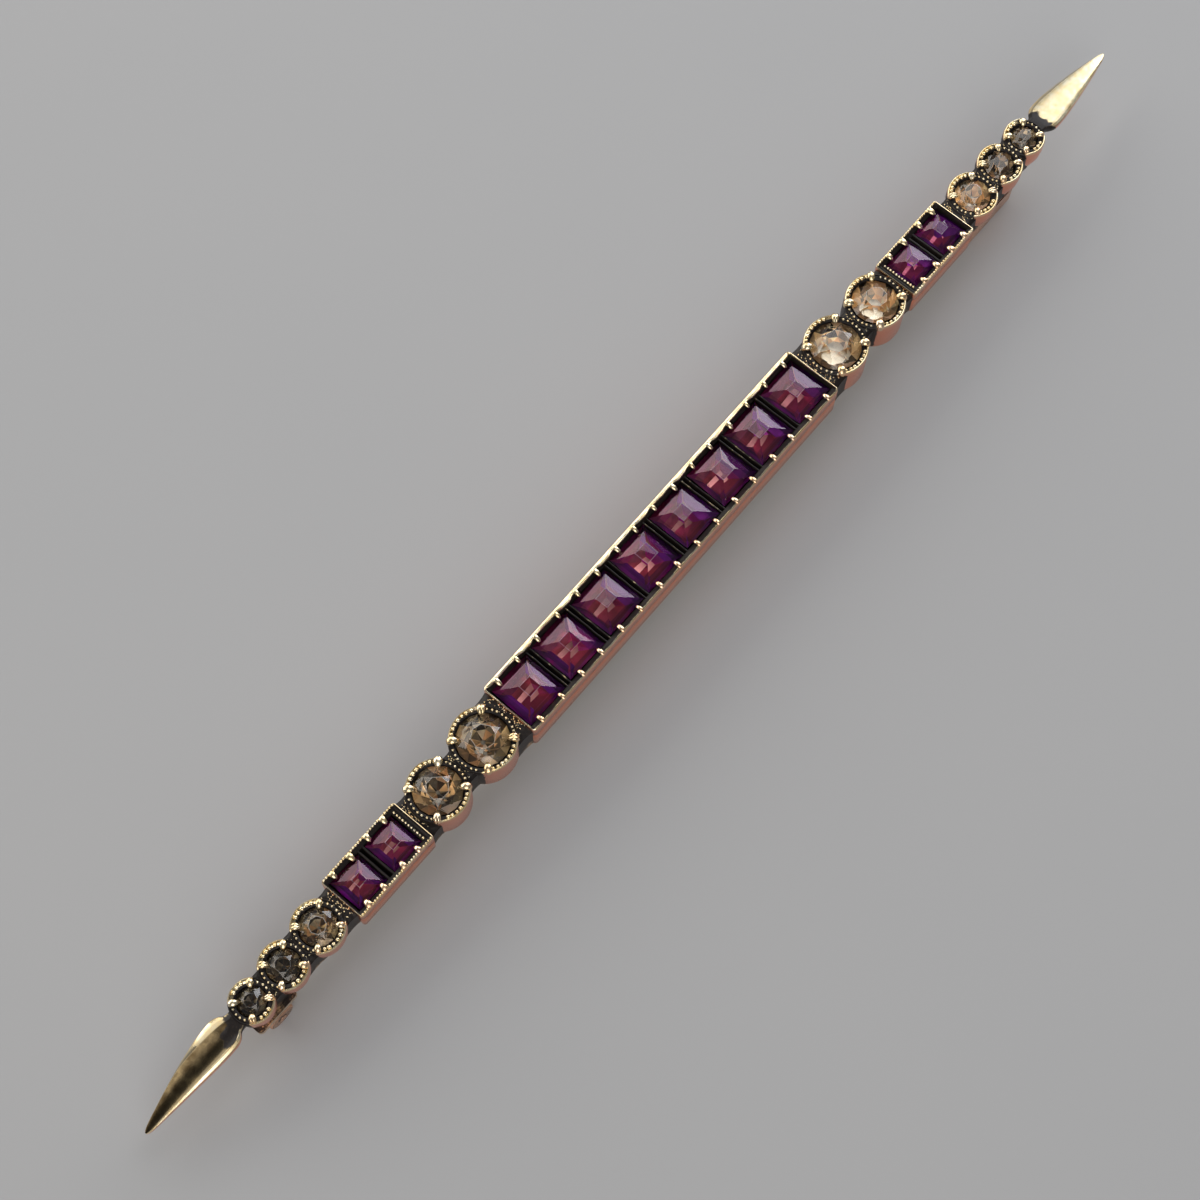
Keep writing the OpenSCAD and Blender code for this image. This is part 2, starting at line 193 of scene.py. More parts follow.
def lathe(bm, x, profile_at, steps):
    """A turned body about the upright line through x. profile_at(angle) gives rows (radius, z, patina, painted rosy
    reflection) from the middle of its underside round to the middle of its inside."""
    angles = [2 * pi * k / steps for k in range(steps)]
    profiles = [profile_at(a) for a in angles]
    made = []
    for rows in list(zip(*profiles))[1:-1]:
        made.append(add_ring(bm, [(x + r * cos(a), r * sin(a), z, patina_and_shade, rosy_reflection)
                                  for a, (r, z, patina_and_shade, rosy_reflection) in zip(angles, rows)]))
    for a, b in zip(made, made[1:]):
        belt(bm, a, b)
    for ring, row in ((made[0], profiles[0][0]), (made[-1], profiles[0][-1])):
        pole = bm.verts.new((x, 0, row[1]))
        paint(bm, pole, row[2], row[3])
        for k in range(steps):
            bm.faces.new((ring[k], ring[(k + 1) % steps], pole))


def bead(bm, place, radius, dirt):
    """One grain of milgrain: bright on top and black round its foot."""
    made = bmesh.ops.create_icosphere(bm, subdivisions=2, radius=radius, matrix=Matrix.Translation(place))
    for v in made["verts"]:
        up = (v.co.z - place[2]) / radius
        paint(bm, v, min(1.0, dirt + smooth_step(0.55, -0.25, up)))


def prong(bm, path, sides, dirt, rosy_reflection, cleft=0.0):
    """A drop of metal along a path of (point, half width, half thickness): bright on top and dark along its sides.
    cleft is the depth of the furrow along its top, as a share of its half thickness. Its painted rosy reflection
    fades along the path."""
    rings = []
    count = len(path)
    for j, (place, half_w, half_t) in enumerate(path):
        before = Vector(path[max(j - 1, 0)][0])
        after = Vector(path[min(j + 1, count - 1)][0])
        along = (after - before).normalized()
        side = along.cross(Vector((0, 0, 1))).normalized()
        up = side.cross(along).normalized()
        ring = []
        for k in range(sides):
            a = 2 * pi * k / sides
            furrow = cleft * smooth_step(0.34, 0.0, abs(cos(a))) if sin(a) > 0 else 0.0
            p = Vector(place) + side * half_w * cos(a) + up * half_t * (sin(a) - furrow)
            patina_and_shade = smooth_step(0.35, -0.2, sin(a)) + 1.3 * furrow
            ring.append((*p, min(1.0, patina_and_shade + dirt), rosy_reflection * (1 - j / count) ** 2))
        rings.append(ring)
    skin(bm, rings)


def rounded_rectangle(half_x, half_y, corner, along, across, arc):
    """Points round a rectangle with round corners. It has as many points whatever its size."""
    turns = [(1, -1, -90), (1, 1, 0), (-1, 1, 90), (-1, -1, 180)]
    points = []

    def on_corner(sx, sy, angle):
        a = radians(angle)
        return sx * (half_x - corner) + corner * cos(a), sy * (half_y - corner) + corner * sin(a)

    for i, (sx, sy, first) in enumerate(turns):
        for k in range(arc + 1):
            points.append(on_corner(sx, sy, first + 90 * k / arc))
        end = on_corner(*turns[(i + 1) % 4])
        from_x, from_y = points[-1]
        count = across if i % 2 == 0 else along
        for k in range(1, count):
            t = k / count
            points.append((from_x + (end[0] - from_x) * t, from_y + (end[1] - from_y) * t))
    return points


def add_object(name, data):
    """A new object in the scene."""
    obj = bpy.data.objects.new(name, data)
    bpy.context.scene.collection.objects.link(obj)
    return obj


def piece(bm, name, material, slot, *nodes, sharp=38):
    """Turns a mesh in millimetres into a piece of the brooch that stands for these nodes."""
    bmesh.ops.recalc_face_normals(bm, faces=bm.faces)
    bmesh.ops.scale(bm, vec=(MM, MM, MM), verts=bm.verts)
    for f in bm.faces:
        f.smooth = True
    for e in bm.edges:
        e.smooth = e.calc_face_angle(0.0) < radians(sharp)
    mesh = bpy.data.meshes.new(name)
    bm.to_mesh(mesh)
    bm.free()
    mesh.materials.append(material)
    obj = add_object(name, mesh)
    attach(obj, "root")
    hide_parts(*nodes)
    return obj


# Materials

class Shader:
    """A short way to write a material's nodes."""

    def __init__(self, name):
        self.material = bpy.data.materials.new(name)
        self.material.use_nodes = True
        self.tree = self.material.node_tree
        self.body = self.tree.nodes["Principled BSDF"]
        self.place = self.node("ShaderNodeTexCoord").outputs["Object"]

    def node(self, kind, **settings):
        made = self.tree.nodes.new(kind)
        for key, value in settings.items():
            setattr(made, key, value)
        return made

    def link(self, out, into):
        self.tree.links.new(out, into)

    def noise(self, size, detail=4.0, roughness=0.55):
        """Noise whose features are about size millimetres across."""
        made = self.node("ShaderNodeTexNoise")
        made.inputs["Scale"].default_value = 1 / (size * MM)
        made.inputs["Detail"].default_value = detail
        made.inputs["Roughness"].default_value = roughness
        self.link(self.place, made.inputs["Vector"])
        return made.outputs["Fac"]

    def attribute(self, name):
        return self.node("ShaderNodeAttribute", attribute_name=name).outputs["Fac"]

    def math(self, operation, a, b, clamp=False):
        made = self.node("ShaderNodeMath", operation=operation, use_clamp=clamp)
        for socket, value in zip(made.inputs, (a, b)):
            if isinstance(value, (int, float)):
                socket.default_value = value
            else:
                self.link(value, socket)
        return made.outputs[0]

    def map(self, value, low, high, to_low=0.0, to_high=1.0):
        made = self.node("ShaderNodeMapRange", interpolation_type="SMOOTHSTEP")
        for key, number in zip(("From Min", "From Max", "To Min", "To Max"), (low, high, to_low, to_high)):
            made.inputs[key].default_value = number
        self.link(value, made.inputs["Value"])
        return made.outputs["Result"]

    def mix(self, factor, a, b):
        made = self.node("ShaderNodeMix", data_type="RGBA")
        self.link(factor, made.inputs["Factor"])
        for socket, value in ((made.inputs[6], a), (made.inputs[7], b)):
            if isinstance(value, tuple):
                socket.default_value = (*value, 1)
            else:
                self.link(value, socket)
        return made.outputs[2]

    def bump(self, height, strength, distance):
        made = self.node("ShaderNodeBump")
        made.inputs["Strength"].default_value = strength
        made.inputs["Distance"].default_value = distance * MM
        self.link(height, made.inputs["Height"])
        self.link(made.outputs["Normal"], self.body.inputs["Normal"])


# Colours of the metal: worn gold, its paler patches, the painted rosy reflection of the outer walls, a film of
# tarnish, which also paints shade on the left leaf, and the soot, whose black is also painted shade in the stones
GOLD = (0.84, 0.66, 0.36)
PALE_GOLD = (0.93, 0.84, 0.60)
ROSY_REFLECTION = (0.94, 0.38, 0.24)
OLIVE = (0.055, 0.038, 0.018)
SOOT_AND_SHADE = (0.012, 0.009, 0.008)
BROWN_SOOT = (0.055, 0.036, 0.022)


def gilt_material(name, patina_shift=0.0, roughness=0.16, scratched=0.14, bump=0.24):
    """Old gilt: worn gold on what stands proud, a painted rosy reflection on the outside walls and black patina in
    what lies deep; on some rims the patina also carries painted shade and painted light. Tarnish is a smooth olive
    film, and on the left leaf it is also painted shade. scratched is how much the scratches roughen the gold, and
    bump how deep they are."""
    s = Shader(name)
    patches = s.noise(0.9, 5.0)
    specks = s.noise(0.16, 3.0, 0.7)
    scratches = s.noise(0.05, 2.0)
    edge = s.math("ADD", s.math("MULTIPLY", s.math("SUBTRACT", patches, 0.5), 0.8),
                  s.math("MULTIPLY", s.math("SUBTRACT", specks, 0.5), 0.7))
    # Patina turns the metal to soot; on some rims it also carries painted shade and painted light
    dark = s.map(s.math("ADD", s.math("ADD", s.attribute("patina_and_shade"), patina_shift), edge), 0.38, 0.78)
    metal = s.mix(s.map(patches, 0.35, 0.7), GOLD, PALE_GOLD)
    # Painted rosy reflection, mostly on the outer walls
    metal = s.mix(s.attribute("rosy_reflection"), metal, ROSY_REFLECTION)
    # Olive tarnish, which on the left leaf is also painted shade
    metal = s.mix(s.math("MULTIPLY", s.attribute("tarnish_and_shade"), s.map(patches, 0.2, 0.6, 0.85, 1.0)), metal, OLIVE)
    soot = s.mix(s.map(specks, 0.5, 0.85), SOOT_AND_SHADE, BROWN_SOOT)
    s.link(s.mix(dark, metal, soot), s.body.inputs["Base Color"])
    s.link(s.map(dark, 0.0, 1.0, 1.0, 0.1), s.body.inputs["Metallic"])
    s.body.inputs["Specular IOR Level"].default_value = 0.3
    rough = s.math("ADD", s.map(dark, 0.0, 1.0, roughness, 0.36), s.math("MULTIPLY", scratches, scratched))
    s.link(rough, s.body.inputs["Roughness"])
    s.bump(s.math("ADD", specks, s.math("MULTIPLY", scratches, 0.35)), bump, 0.03)
    return s.material


def foil_material(name, cool, middle, warm):
    """The coloured foil against a stone's underside. Each facet has its own painted brightness and warmth, which
    stand in for the reflections and glints seen in it; at no brightness it is black.
    """
    s = Shader(name)
    spots = s.noise(0.8, 3.0, 0.6)
    warmth = s.attribute("warm")
    colour = s.mix(s.map(warmth, 0.5, 1.0), s.mix(s.map(warmth, 0.0, 0.5), cool, middle), warm)
    bright = s.math("MULTIPLY", s.attribute("painted_light"), s.map(spots, 0.25, 0.7, 0.7, 1.0), clamp=True)
    s.link(s.mix(bright, SOOT_AND_SHADE, colour), s.body.inputs["Base Color"])
    s.body.inputs["Metallic"].default_value = 1.0
    s.link(s.map(spots, 0.2, 0.8, 0.28, 0.42), s.body.inputs["Roughness"])
    return s.material


def edge_material(name, colour):
    """The worn edges between facets, which scatter a little light."""
    s = Shader(name)
    s.link(s.mix(s.noise(0.4), colour, tuple(0.8 * c for c in colour)), s.body.inputs["Base Color"])
    s.link(s.map(s.noise(0.1), 0.3, 0.7, 0.3, 0.5), s.body.inputs["Roughness"])
    s.body.inputs["Transmission Weight"].default_value = 0.6
    return s.material


def glass_material(name, colour, ior, absorb, density, shine):
    """A polished stone. Its colour deepens with the way that light takes through it, and facets given less light
    are painted darker, towards black, as painted shade."""
    s = Shader(name)
    clear = s.mix(s.noise(1.3, 2.0), colour, tuple(min(1.0, 1.12 * c) for c in colour))
    # Painted shade: facets given less light turn towards black
    s.link(s.mix(s.attribute("painted_light"), SOOT_AND_SHADE, clear), s.body.inputs["Base Color"])
    s.link(s.map(s.noise(1.0, 2.0), 0.3, 0.7, 0.0, 0.012), s.body.inputs["Roughness"])
    s.body.inputs["IOR"].default_value = ior
    s.body.inputs["Specular Tint"].default_value = (*shine, 1)
    s.body.inputs["Transmission Weight"].default_value = 1.0
    volume = s.node("ShaderNodeVolumeAbsorption")
    volume.inputs["Color"].default_value = (*absorb, 1)
    volume.inputs["Density"].default_value = density
    s.link(volume.outputs["Volume"], s.tree.nodes["Material Output"].inputs["Volume"])
    return s.material


GILT = gilt_material("old_gilt")
PIN_GILT = gilt_material("pin_gilt", patina_shift=-0.1)
LEAF_GILT = gilt_material("leaf_gilt", roughness=0.22, scratched=0.08, bump=0.14)
AMETHYST = glass_material("amethyst", colour=(0.98, 0.88, 0.96), ior=1.545, absorb=(0.86, 0.42, 0.78), density=100.0,
                          shine=(1.0, 0.77, 0.91))
PASTE = glass_material("paste", colour=(0.98, 0.96, 0.90), ior=1.64, absorb=(0.92, 0.82, 0.62), density=90.0,
                       shine=(1.0, 0.98, 0.94))
VIOLET_FOIL = foil_material("violet_foil", cool=(0.64, 0.07, 0.90), middle=(0.92, 0.15, 0.36), warm=(1.0, 0.52, 0.37))
AMETHYST_EDGE = edge_material("amethyst_edge", (0.78, 0.62, 0.76))
PASTE_EDGE = edge_material("paste_edge", (0.95, 0.92, 0.86))
GREY_FOIL = foil_material("grey_foil", cool=(0.90, 0.84, 0.90), middle=(0.95, 0.84, 0.58), warm=(1.0, 0.62, 0.34))


# Boxes

def frame_piece(bm, name):
    """A piece that stands for some of the frame's metal."""
    piece(bm, name, GILT, "old_gilt", "frame")


def walls(bm, x, half_x, half_y, corner, rows, patches, seed):
    """The wall round a box setting. A row is (inset at the sides, inset at the ends, z, patina, rosy reflection,
    widening, unevenness, painted shade). The rosy reflection is painted too. The +Y rim widens next to the places in
    patches, and the painted shade darkens the rim towards its -Y side."""
    along = round(2 * half_x / 0.12)
    rings = []
    for inset_y, inset_x, z, patina_and_shade, rosy_reflection, widen, uneven, painted_shade in rows:
        loop = rounded_rectangle(half_x - inset_x, half_y - inset_y, max(corner - min(inset_x, inset_y), 0.04),
                                 along, 10, 5)
        ring = []
        for px, py in loop:
            near = max([smooth_step(0.85, 0.35, abs(x + px - p)) for p in patches] or [0])
            near = (0.55 + 0.45 * near if patches else 0) * (0.85 + 0.3 * wobble(x + px, py, seed, 1.5)) * (py > 0)
            on_side = smooth_step(half_x - inset_x, half_x - inset_x - 0.4, abs(px))
            shift = widen * near * on_side + uneven * 0.6 * wobble(x + px, py, seed + 1, 0.5) * on_side
            # Painted shade: the rim darkens towards its -Y side
            shade = painted_shade * smooth_step(half_y * 0.9, -half_y * 0.9, py)
            height = z + 0.5 * widen * near * on_side + uneven * wobble(x + px, py, seed + 2, 0.9)
            ring.append((x + px, py - copysign(shift, py), height, patina_and_shade + shade, rosy_reflection))
        rings.append(ring)
    skin(bm, rings, loop=True)


def floor_plate(bm, x, half_x, half_y, corner, top):
    """The closed back of a box, set a little inside its walls."""
    rings = []
    for inset, z, patina_and_shade in ((0.22, BACK + 0.02, 0.3), (0.16, BACK + 0.05, 0.5), (0.16, top, 1.0)):
        loop = rounded_rectangle(half_x - inset, half_y - inset, max(corner - inset, 0.05), 40, 8, 4)
        rings.append([(x + px, py, z, patina_and_shade, 0.2) for px, py in loop])
    skin(bm, rings)


def divider(bm, x, half_y, top, bottom, thick, seed, crest):
    """A thin plate across a box, with a rounded top edge. crest is the patina of that edge."""
    rings = []
    for k in range(-12, 13):
        y = half_y * k / 12
        z = top + 0.035 * wobble(x, y, seed, 0.5)
        worn = crest + 0.35 * wobble(x, y, seed + 1, 0.35)
        mid = x + 0.03 * wobble(x, y, seed + 2, 0.9)
        outline = [(-0.5, bottom, 1), (-0.5, z - 0.07, 1), (-0.3, z - 0.015, worn), (0, z, worn),
                   (0.3, z - 0.015, worn), (0.5, z - 0.07, 1), (0.5, bottom, 1)]
        rings.append([(mid + thick * share, y, height, patina_and_shade, 0) for share, height, patina_and_shade in outline])
    skin(bm, rings)


# How far a square stone's tabs are from its middle, as a share of its half side
TAB_PLACE = 0.56


def square_tabs(bm, stone, outer, width, rows, nearer):
    """The four tabs of a square stone: from the rim, over its edge. A row of the path is
    (inset from the outer wall, height above the rim, share of the width, half thickness), and on the -Y side the
    path is nearer to the wall."""
    for sx in (-1, 1):
        for sy in (-1, 1):
            x = stone.x + sx * TAB_PLACE * stone.size / 2 + chance(-0.07, 0.07)
            lean = chance(-0.12, 0.12)
            grow = chance(0.9, 1.1)
            path = []
            for inset, up, share, thick in rows:
                y = outer - inset * grow + (nearer if sy < 0 else 0)
                path.append(((x + lean * inset, sy * y, stone.rim + up), width * share * grow / 2, thick))
            # Tabs on the -Y side carry the painted rosy reflection
            prong(bm, path, sides=16, dirt=chance(-0.1, 0.08), rosy_reflection=0.6 if sy < 0 else 0.0)


def foot_rows(groove):
    """The lower rows of a box's wall, from its foot over the groove that runs round it at this height."""
    # The outer wall carries the painted rosy reflection, in the fifth column
    return [
        (0.14, 0.14, BACK, 0.5, 0.5, 0, 0, 0),
        (0.04, 0.04, BACK + 0.02, 0.4, 0.7, 0, 0, 0),
        (0.0, 0.0, BACK + 0.10, 0.35, 0.9, 0, 0, 0),
        (0.0, 0.0, groove - 0.11, 0.34, 1.0, 0, 0, 0),
        (0.05, 0.05, groove - 0.03, 0.7, 1.0, 0, 0, 0),
        (0.05, 0.05, groove + 0.03, 0.7, 1.0, 0, 0, 0),
        (0.0, 0.0, groove + 0.11, 0.28, 1.0, 0, 0, 0)
    ]


# The rows of the long box's wall: up its outside, over its rim and down its inside
LONG_ROWS = foot_rows(RIM - 1.41) + [
    (0.0, 0.0, RIM - 0.30, 0.15, 1.0, 0, 0, 0),
    (0.01, 0.01, RIM - 0.10, 0.0, 0.6, 0, 0.01, 0),
    (0.035, 0.035, RIM - 0.03, -0.2, 0.3, 0, 0.02, 0),
    # The rim's rows darken their -Y side with painted shade, in the last column
    (0.07, 0.07, RIM, -0.3, 0, 0, 0.03, 0.5),
    (0.12, 0.10, RIM + 0.01, -0.3, 0, 0.20, 0.03, 0.95),
    (0.17, 0.14, RIM - 0.02, -0.2, 0, 0.32, 0.03, 0.9),
    (0.21, 0.17, RIM - 0.08, 0.7, 0, 0.33, 0.02, 0.3),
    (0.36, 0.21, RIM - 0.22, 1.1, 0, 0.20, 0.03, 0),
    (0.54, 0.25, RIM - 0.33, 1.1, 0, 0.03, 0, 0),
    (0.585, 0.28, RIM - 0.40, 1.1, 0, 0, 0, 0),
    (0.59, 0.29, RIM - 0.9, 1.1, 0, 0, 0, 0),
    (0.59, 0.29, BACK + 0.6, 1, 0, 0, 0, 0)
]
# The paths of the tabs, as square_tabs reads them
LONG_TAB = [
    (0.10, -0.12, 0.6, 0.05),
    (0.19, 0.0, 0.9, 0.09),
    (0.32, 0.05, 1.0, 0.10),
    (0.50, 0.04, 1.0, 0.10),
    (0.66, -0.01, 0.94, 0.10),
    (0.78, -0.07, 0.78, 0.09),
    (0.85, -0.14, 0.45, 0.05)
]
SMALL_TAB = [
    (0.08, -0.10, 0.9, 0.05),
    (0.18, 0.02, 1.15, 0.10),
    (0.30, 0.06, 1.1, 0.12),
    (0.45, 0.05, 1.0, 0.12),
    (0.60, 0.0, 0.85, 0.11),
    (0.71, -0.06, 0.62, 0.09),
    (0.77, -0.12, 0.3, 0.05)
]


def gaps_between(stones):
    """The middles of the gaps between the stones of a row."""
    xs = sorted(s.x for s in stones)
    return [(a + b) / 2 for a, b in zip(xs, xs[1:])]


def long_box():
    """The setting of the eight large square stones: two thin plates stand between each pair."""
    bm = start()
    walls(bm, 0, LONG_HALF, LONG_W, 0.35, LONG_ROWS, gaps_between(LONG), 1)
    floor_plate(bm, 0, LONG_HALF, LONG_W, 0.35, RIM - 2.75)
    for k, x in enumerate(gaps_between(LONG)):
        for s in (-1, 1):
            divider(bm, x + s * 0.2, LONG_W - 0.5, RIM - 0.3, RIM - 2.9, 0.12, 20 + k + s, chance(0.8, 1.05))
    for stone in LONG:
        square_tabs(bm, stone, LONG_W, 0.36, LONG_TAB, 0.13)
    frame_piece(bm, "long_box")


# The same of a small box, whose rim has a ledge for grains
SMALL_ROWS = foot_rows(LOW_RIM - 1.11) + [
    (0.0, 0.0, LOW_RIM - 0.30, 0.15, 0.9, 0, 0, 0),
    (0.01, 0.02, LOW_RIM - 0.14, 0.0, 0.4, 0, 0.01, 0),
    (0.04, 0.05, LOW_RIM - 0.07, -0.1, 0.1, 0, 0.02, 0),
    (0.09, 0.09, LOW_RIM - 0.06, 0.4, 0, 0, 0.02, 0),
    (0.22, 0.13, LOW_RIM - 0.10, 1.0, 0, 0, 0.02, 0),
    (0.28, 0.18, LOW_RIM - 0.16, 1.1, 0, 0, 0.01, 0),
    (0.42, 0.24, LOW_RIM - 0.27, 1.1, 0, 0, 0, 0),
    (0.51, 0.30, LOW_RIM - 0.36, 1.1, 0, 0, 0, 0),
    (0.53, 0.34, LOW_RIM - 0.9, 1.1, 0, 0, 0, 0),
    (0.53, 0.34, BACK + 0.6, 1, 0, 0, 0, 0)
]


def small_box_ends(side):
    """How far from the bar's middle a small box starts and ends."""
    xs = [abs(s.x) for s in SMALL[side]]
    half_stone = SMALL[side][0].size / 2
    return min(xs) - half_stone - SMALL_INNER, max(xs) + half_stone + SMALL_OUTER


def small_box(side):
    """A setting of two small square stones, with milgrain along its sides and across its inner end."""
    stones = SMALL[side]
    inner, outer = small_box_ends(side)
    middle, half = side * (inner + outer) / 2, (outer - inner) / 2
    bm = start()
    walls(bm, middle, half, SMALL_W, 0.25, SMALL_ROWS, [], 40 + side)
    floor_plate(bm, middle, half, SMALL_W, 0.25, LOW_RIM - 2.3)
    for x in gaps_between(stones):
        for s in (-1, 1):
            divider(bm, x + s * 0.24, SMALL_W - 0.45, LOW_RIM - 0.34, LOW_RIM - 2.4, 0.2, 60 + side + s, 1.0)
    grains_x = side * (inner + 0.6)
    divider(bm, grains_x, SMALL_W - 0.3, LOW_RIM - 0.24, LOW_RIM - 2.4, 0.34, 70 + side, 1.0)
    divider(bm, side * (inner + 0.28), SMALL_W - 0.2, LOW_RIM - 0.2, LOW_RIM - 2.4, 0.3, 72 + side, 1.1)
    for stone in stones:
        square_tabs(bm, stone, SMALL_W, 0.46, SMALL_TAB, 0.05)
    frame_piece(bm, f"small_box_{NAME[side]}")
    grains = start()
    pitch = 0.27
    count = round(2 * half / pitch)
    for sy in (-1, 1):
        for k in range(1, count):
            x = middle - half + 2 * half * k / count
            place = (x, sy * (SMALL_W - 0.13 + chance(-0.015, 0.015)), LOW_RIM - 0.05)
            bead(grains, place, 0.12 * chance(0.85, 1.1), chance(-0.35, 0.1))
    for k in range(-5, 6):
        place = (grains_x, 0.29 * k + chance(-0.02, 0.02), LOW_RIM - 0.2)
        bead(grains, place, 0.12 * chance(0.8, 1.1), chance(0.0, 0.5))
    frame_piece(grains, f"small_box_grains_{NAME[side]}")


# Round collets

# The path of a claw: distance out from the stone's edge, height above the rim, half width, half thickness
CLAW = [
    (0.52, -0.36, 0.20, 0.10), (0.50, -0.12, 0.27, 0.15), (0.41, 0.05, 0.31, 0.19), (0.26, 0.13, 0.32, 0.20),
    (0.08, 0.13, 0.30, 0.18), (-0.10, 0.07, 0.24, 0.15), (-0.22, 0.0, 0.16, 0.10), (-0.28, -0.05, 0.06, 0.05)
]


def claw(bm, stone, angle, size):
    """A claw from the collet's wall over the stone."""
    grow = size * chance(0.9, 1.1)
    out = Vector((cos(angle), sin(angle), 0))
    path = []
    for reach, up, half_w, half_t in CLAW:
        place = Vector((stone.x, 0, stone.rim + up * grow)) + out * (stone.size / 2 + reach * size)
        path.append((place, half_w * grow, half_t * grow))
    # Claws on the -Y side carry more of the painted rosy reflection
    prong(bm, path, sides=28, dirt=chance(-0.2, -0.05), rosy_reflection=0.45 if sin(angle) < 0 else 0.1,
          cleft=dice.choice((0.0, 0.0, 0.4)))


def shown_share(angle):
    """1 across the bar, where a collet's rim stands free, and 0 along it, where it meets its neighbours."""
    return smooth_step(0.55, 0.74, abs(sin(angle)))


def collet(side, i):
    """A round setting: its rim is polished across the bar, and cut down and black where it meets its neighbours."""
    stone = ROUND[side][i]
    large = i < 2
    r_stone = stone.size / 2
    r_out = r_stone + BEZEL[i]
    r_foot = r_out * FOOT[i]
    r_low, z_low = (r_out, BACK + 0.5) if large else (r_foot + 0.8 * (r_out - r_foot), BACK + 1.2)
    rim = stone.rim

    def profile(angle):
        """shown is 1 where the rim is polished; the crescent is 1 at the +Y side, where the rim's inner slope gets a
        painted highlight; far darkens the wall below. The last column is the painted rosy reflection.
        """
        shown = shown_share(angle)
        # Painted highlight: the rim's inner slope is lightened on its +Y side
        painted_light_side = smooth_step(0.6, 0.8, sin(angle))
        drop = 0.24 * (1 - shown)
        hidden = 1.5 * (1 - shown)
        far = hidden + smooth_step(0.98, 0.85, sin(angle)) * smooth_step(0.0, 0.2, sin(angle))
        uneven = 0.02 * wobble(3 * cos(angle) + stone.x, 3 * sin(angle), 90 + i, 1.2)
        top = rim - drop + uneven
        return [
            (0, BACK, 0.4, 0.3),
            (r_foot - 0.15, BACK, 0.4, 0.4),
            (r_foot - 0.04, BACK + 0.03, 0.35, 0.6),
            (r_foot, BACK + 0.12, 0.35, 0.8),
            (r_low, z_low, 0.35 + far, 1.0),
            (r_out, rim - 1.0, 0.3 + far, 1.0),
            (r_out, rim - 0.36, 0.15 + far, 0.9),
            (r_out - 0.01, top - 0.13, hidden, 0.5),
            (r_out - 0.035, top - 0.04, -0.2 + hidden, 0.1),
            (r_out - 0.08, top, -0.3 + hidden, 0),
            (r_out - 0.14, top - 0.01, -0.1 + hidden, 0),
            (r_out - 0.18, top - 0.08, 0.7 + hidden - 0.8 * painted_light_side, 0),
            (r_stone + 0.26, rim - 0.22, 1.1 - 0.9 * painted_light_side, 0),
            (r_stone + 0.16, rim - 0.24, 1.1, 0),
            (r_stone + 0.08, rim - 0.26, 1.1, 0),
            (r_stone + CLEARANCE, rim - 0.30, 1.1, 0),
            (r_stone + CLEARANCE, rim - 0.9, 1.1, 0),
            (r_stone + CLEARANCE, BACK + 0.45, 1, 0),
            (0, BACK + 0.45, 1, 0)
        ]

    bm = start()
    lathe(bm, stone.x, profile, 96 if large else 72)
    for k in range(4):
        claw(bm, stone, radians(45 + 90 * k + chance(-6, 6)), 1.0 if large else 0.84)
    frame_piece(bm, f"collet_{NAME[side]}_{i + 1}")


def collet_grains(side):
    """The milgrain round every collet of one side."""
    bm = start()
    pitch = 0.4
    for stone in ROUND[side]:
        ring = stone.size / 2 + 0.26
        count = round(2 * pi * ring / pitch)
        for k in range(count):
            angle = 2 * pi * (k + 0.5) / count + chance(-0.02, 0.02)
            under_claw = abs((degrees(angle) % 90) - 45) < 22 / ring
            if under_claw:
                continue
            shown = shown_share(angle)
            radius = (0.175 if shown > 0.5 else 0.11) * chance(0.85, 1.08)
            place = (stone.x + ring * cos(angle), ring * sin(angle), stone.rim - 0.11 - 0.1 * (1 - shown))
            bead(bm, place, radius, chance(-0.25, 0.05) + 0.4 * (1 - shown))
    frame_piece(bm, f"collet_grains_{NAME[side]}")


def waists(side):
    """The blackened metal that joins the settings of one end, with grains on it. Its ends follow the collets'
    walls."""
    rounds = ROUND[side]
    box_in, box_out = small_box_ends(side)
    radii = [s.size / 2 + b for s, b in zip(rounds, BEZEL)]
    # Neighbours 0 to 2 are the ends of boxes and 3 to 7 the round stones: (place along the bar, stone's radius)
    ends = [(LONG_HALF, None), (box_in, None), (box_out, None)] + [(abs(s.x), s.size / 2) for s in rounds]
    widths = [LONG_W, SMALL_W, SMALL_W] + radii
    pairs = [(0, 3), (3, 4), (4, 1), (2, 5), (5, 6), (6, 7)]
    bm = start()

    def end(which, y, towards):
        """How far along the bar a waist reaches into its neighbour, at y across it."""
        place, r = ends[which]
        if r is None:
            return place - towards * 0.12
        inside = r + 0.3
        return place + towards * sqrt(max(inside ** 2 - y ** 2, 0.01))

    for k, (a, b) in enumerate(pairs):
        half = WAIST[k] * (widths[a] + widths[b]) / 2
        top = (RIM if k < 2 else LOW_RIM) - WAIST_DROP
        rings = []
        for j in range(17):
            t = j / 16
            over, under = [], []
            for n in range(25):
                share = (n - 12) / 12
                edge = max(0.0, abs(share) - 0.82) / 0.18
                y = share * half * (1 + 0.06 * (2 * t - 1) ** 2)
                x = side * (end(a, y, 1) * (1 - t) + end(b, y, -1) * t)
                over.append((x, y, top - 0.22 * edge + 0.05 * wobble(x, y, 100 + k, 0.22), 1.1, 0))
                under.append((x, y, BACK + 0.03 + 0.1 * edge, 0.7, 0.4))
            rings.append(over + under[::-1])
        skin(bm, rings, columns=True)
        for n in range(round(34 * half)):
            y = chance(-0.85, 0.85) * half
            x = chance(end(a, y, 1), end(b, y, -1))
            bead(bm, (side * x, y, top + 0.01), chance(0.035, 0.07), chance(-0.1, 0.4))
    frame_piece(bm, f"waists_{NAME[side]}")


# Leaf tips

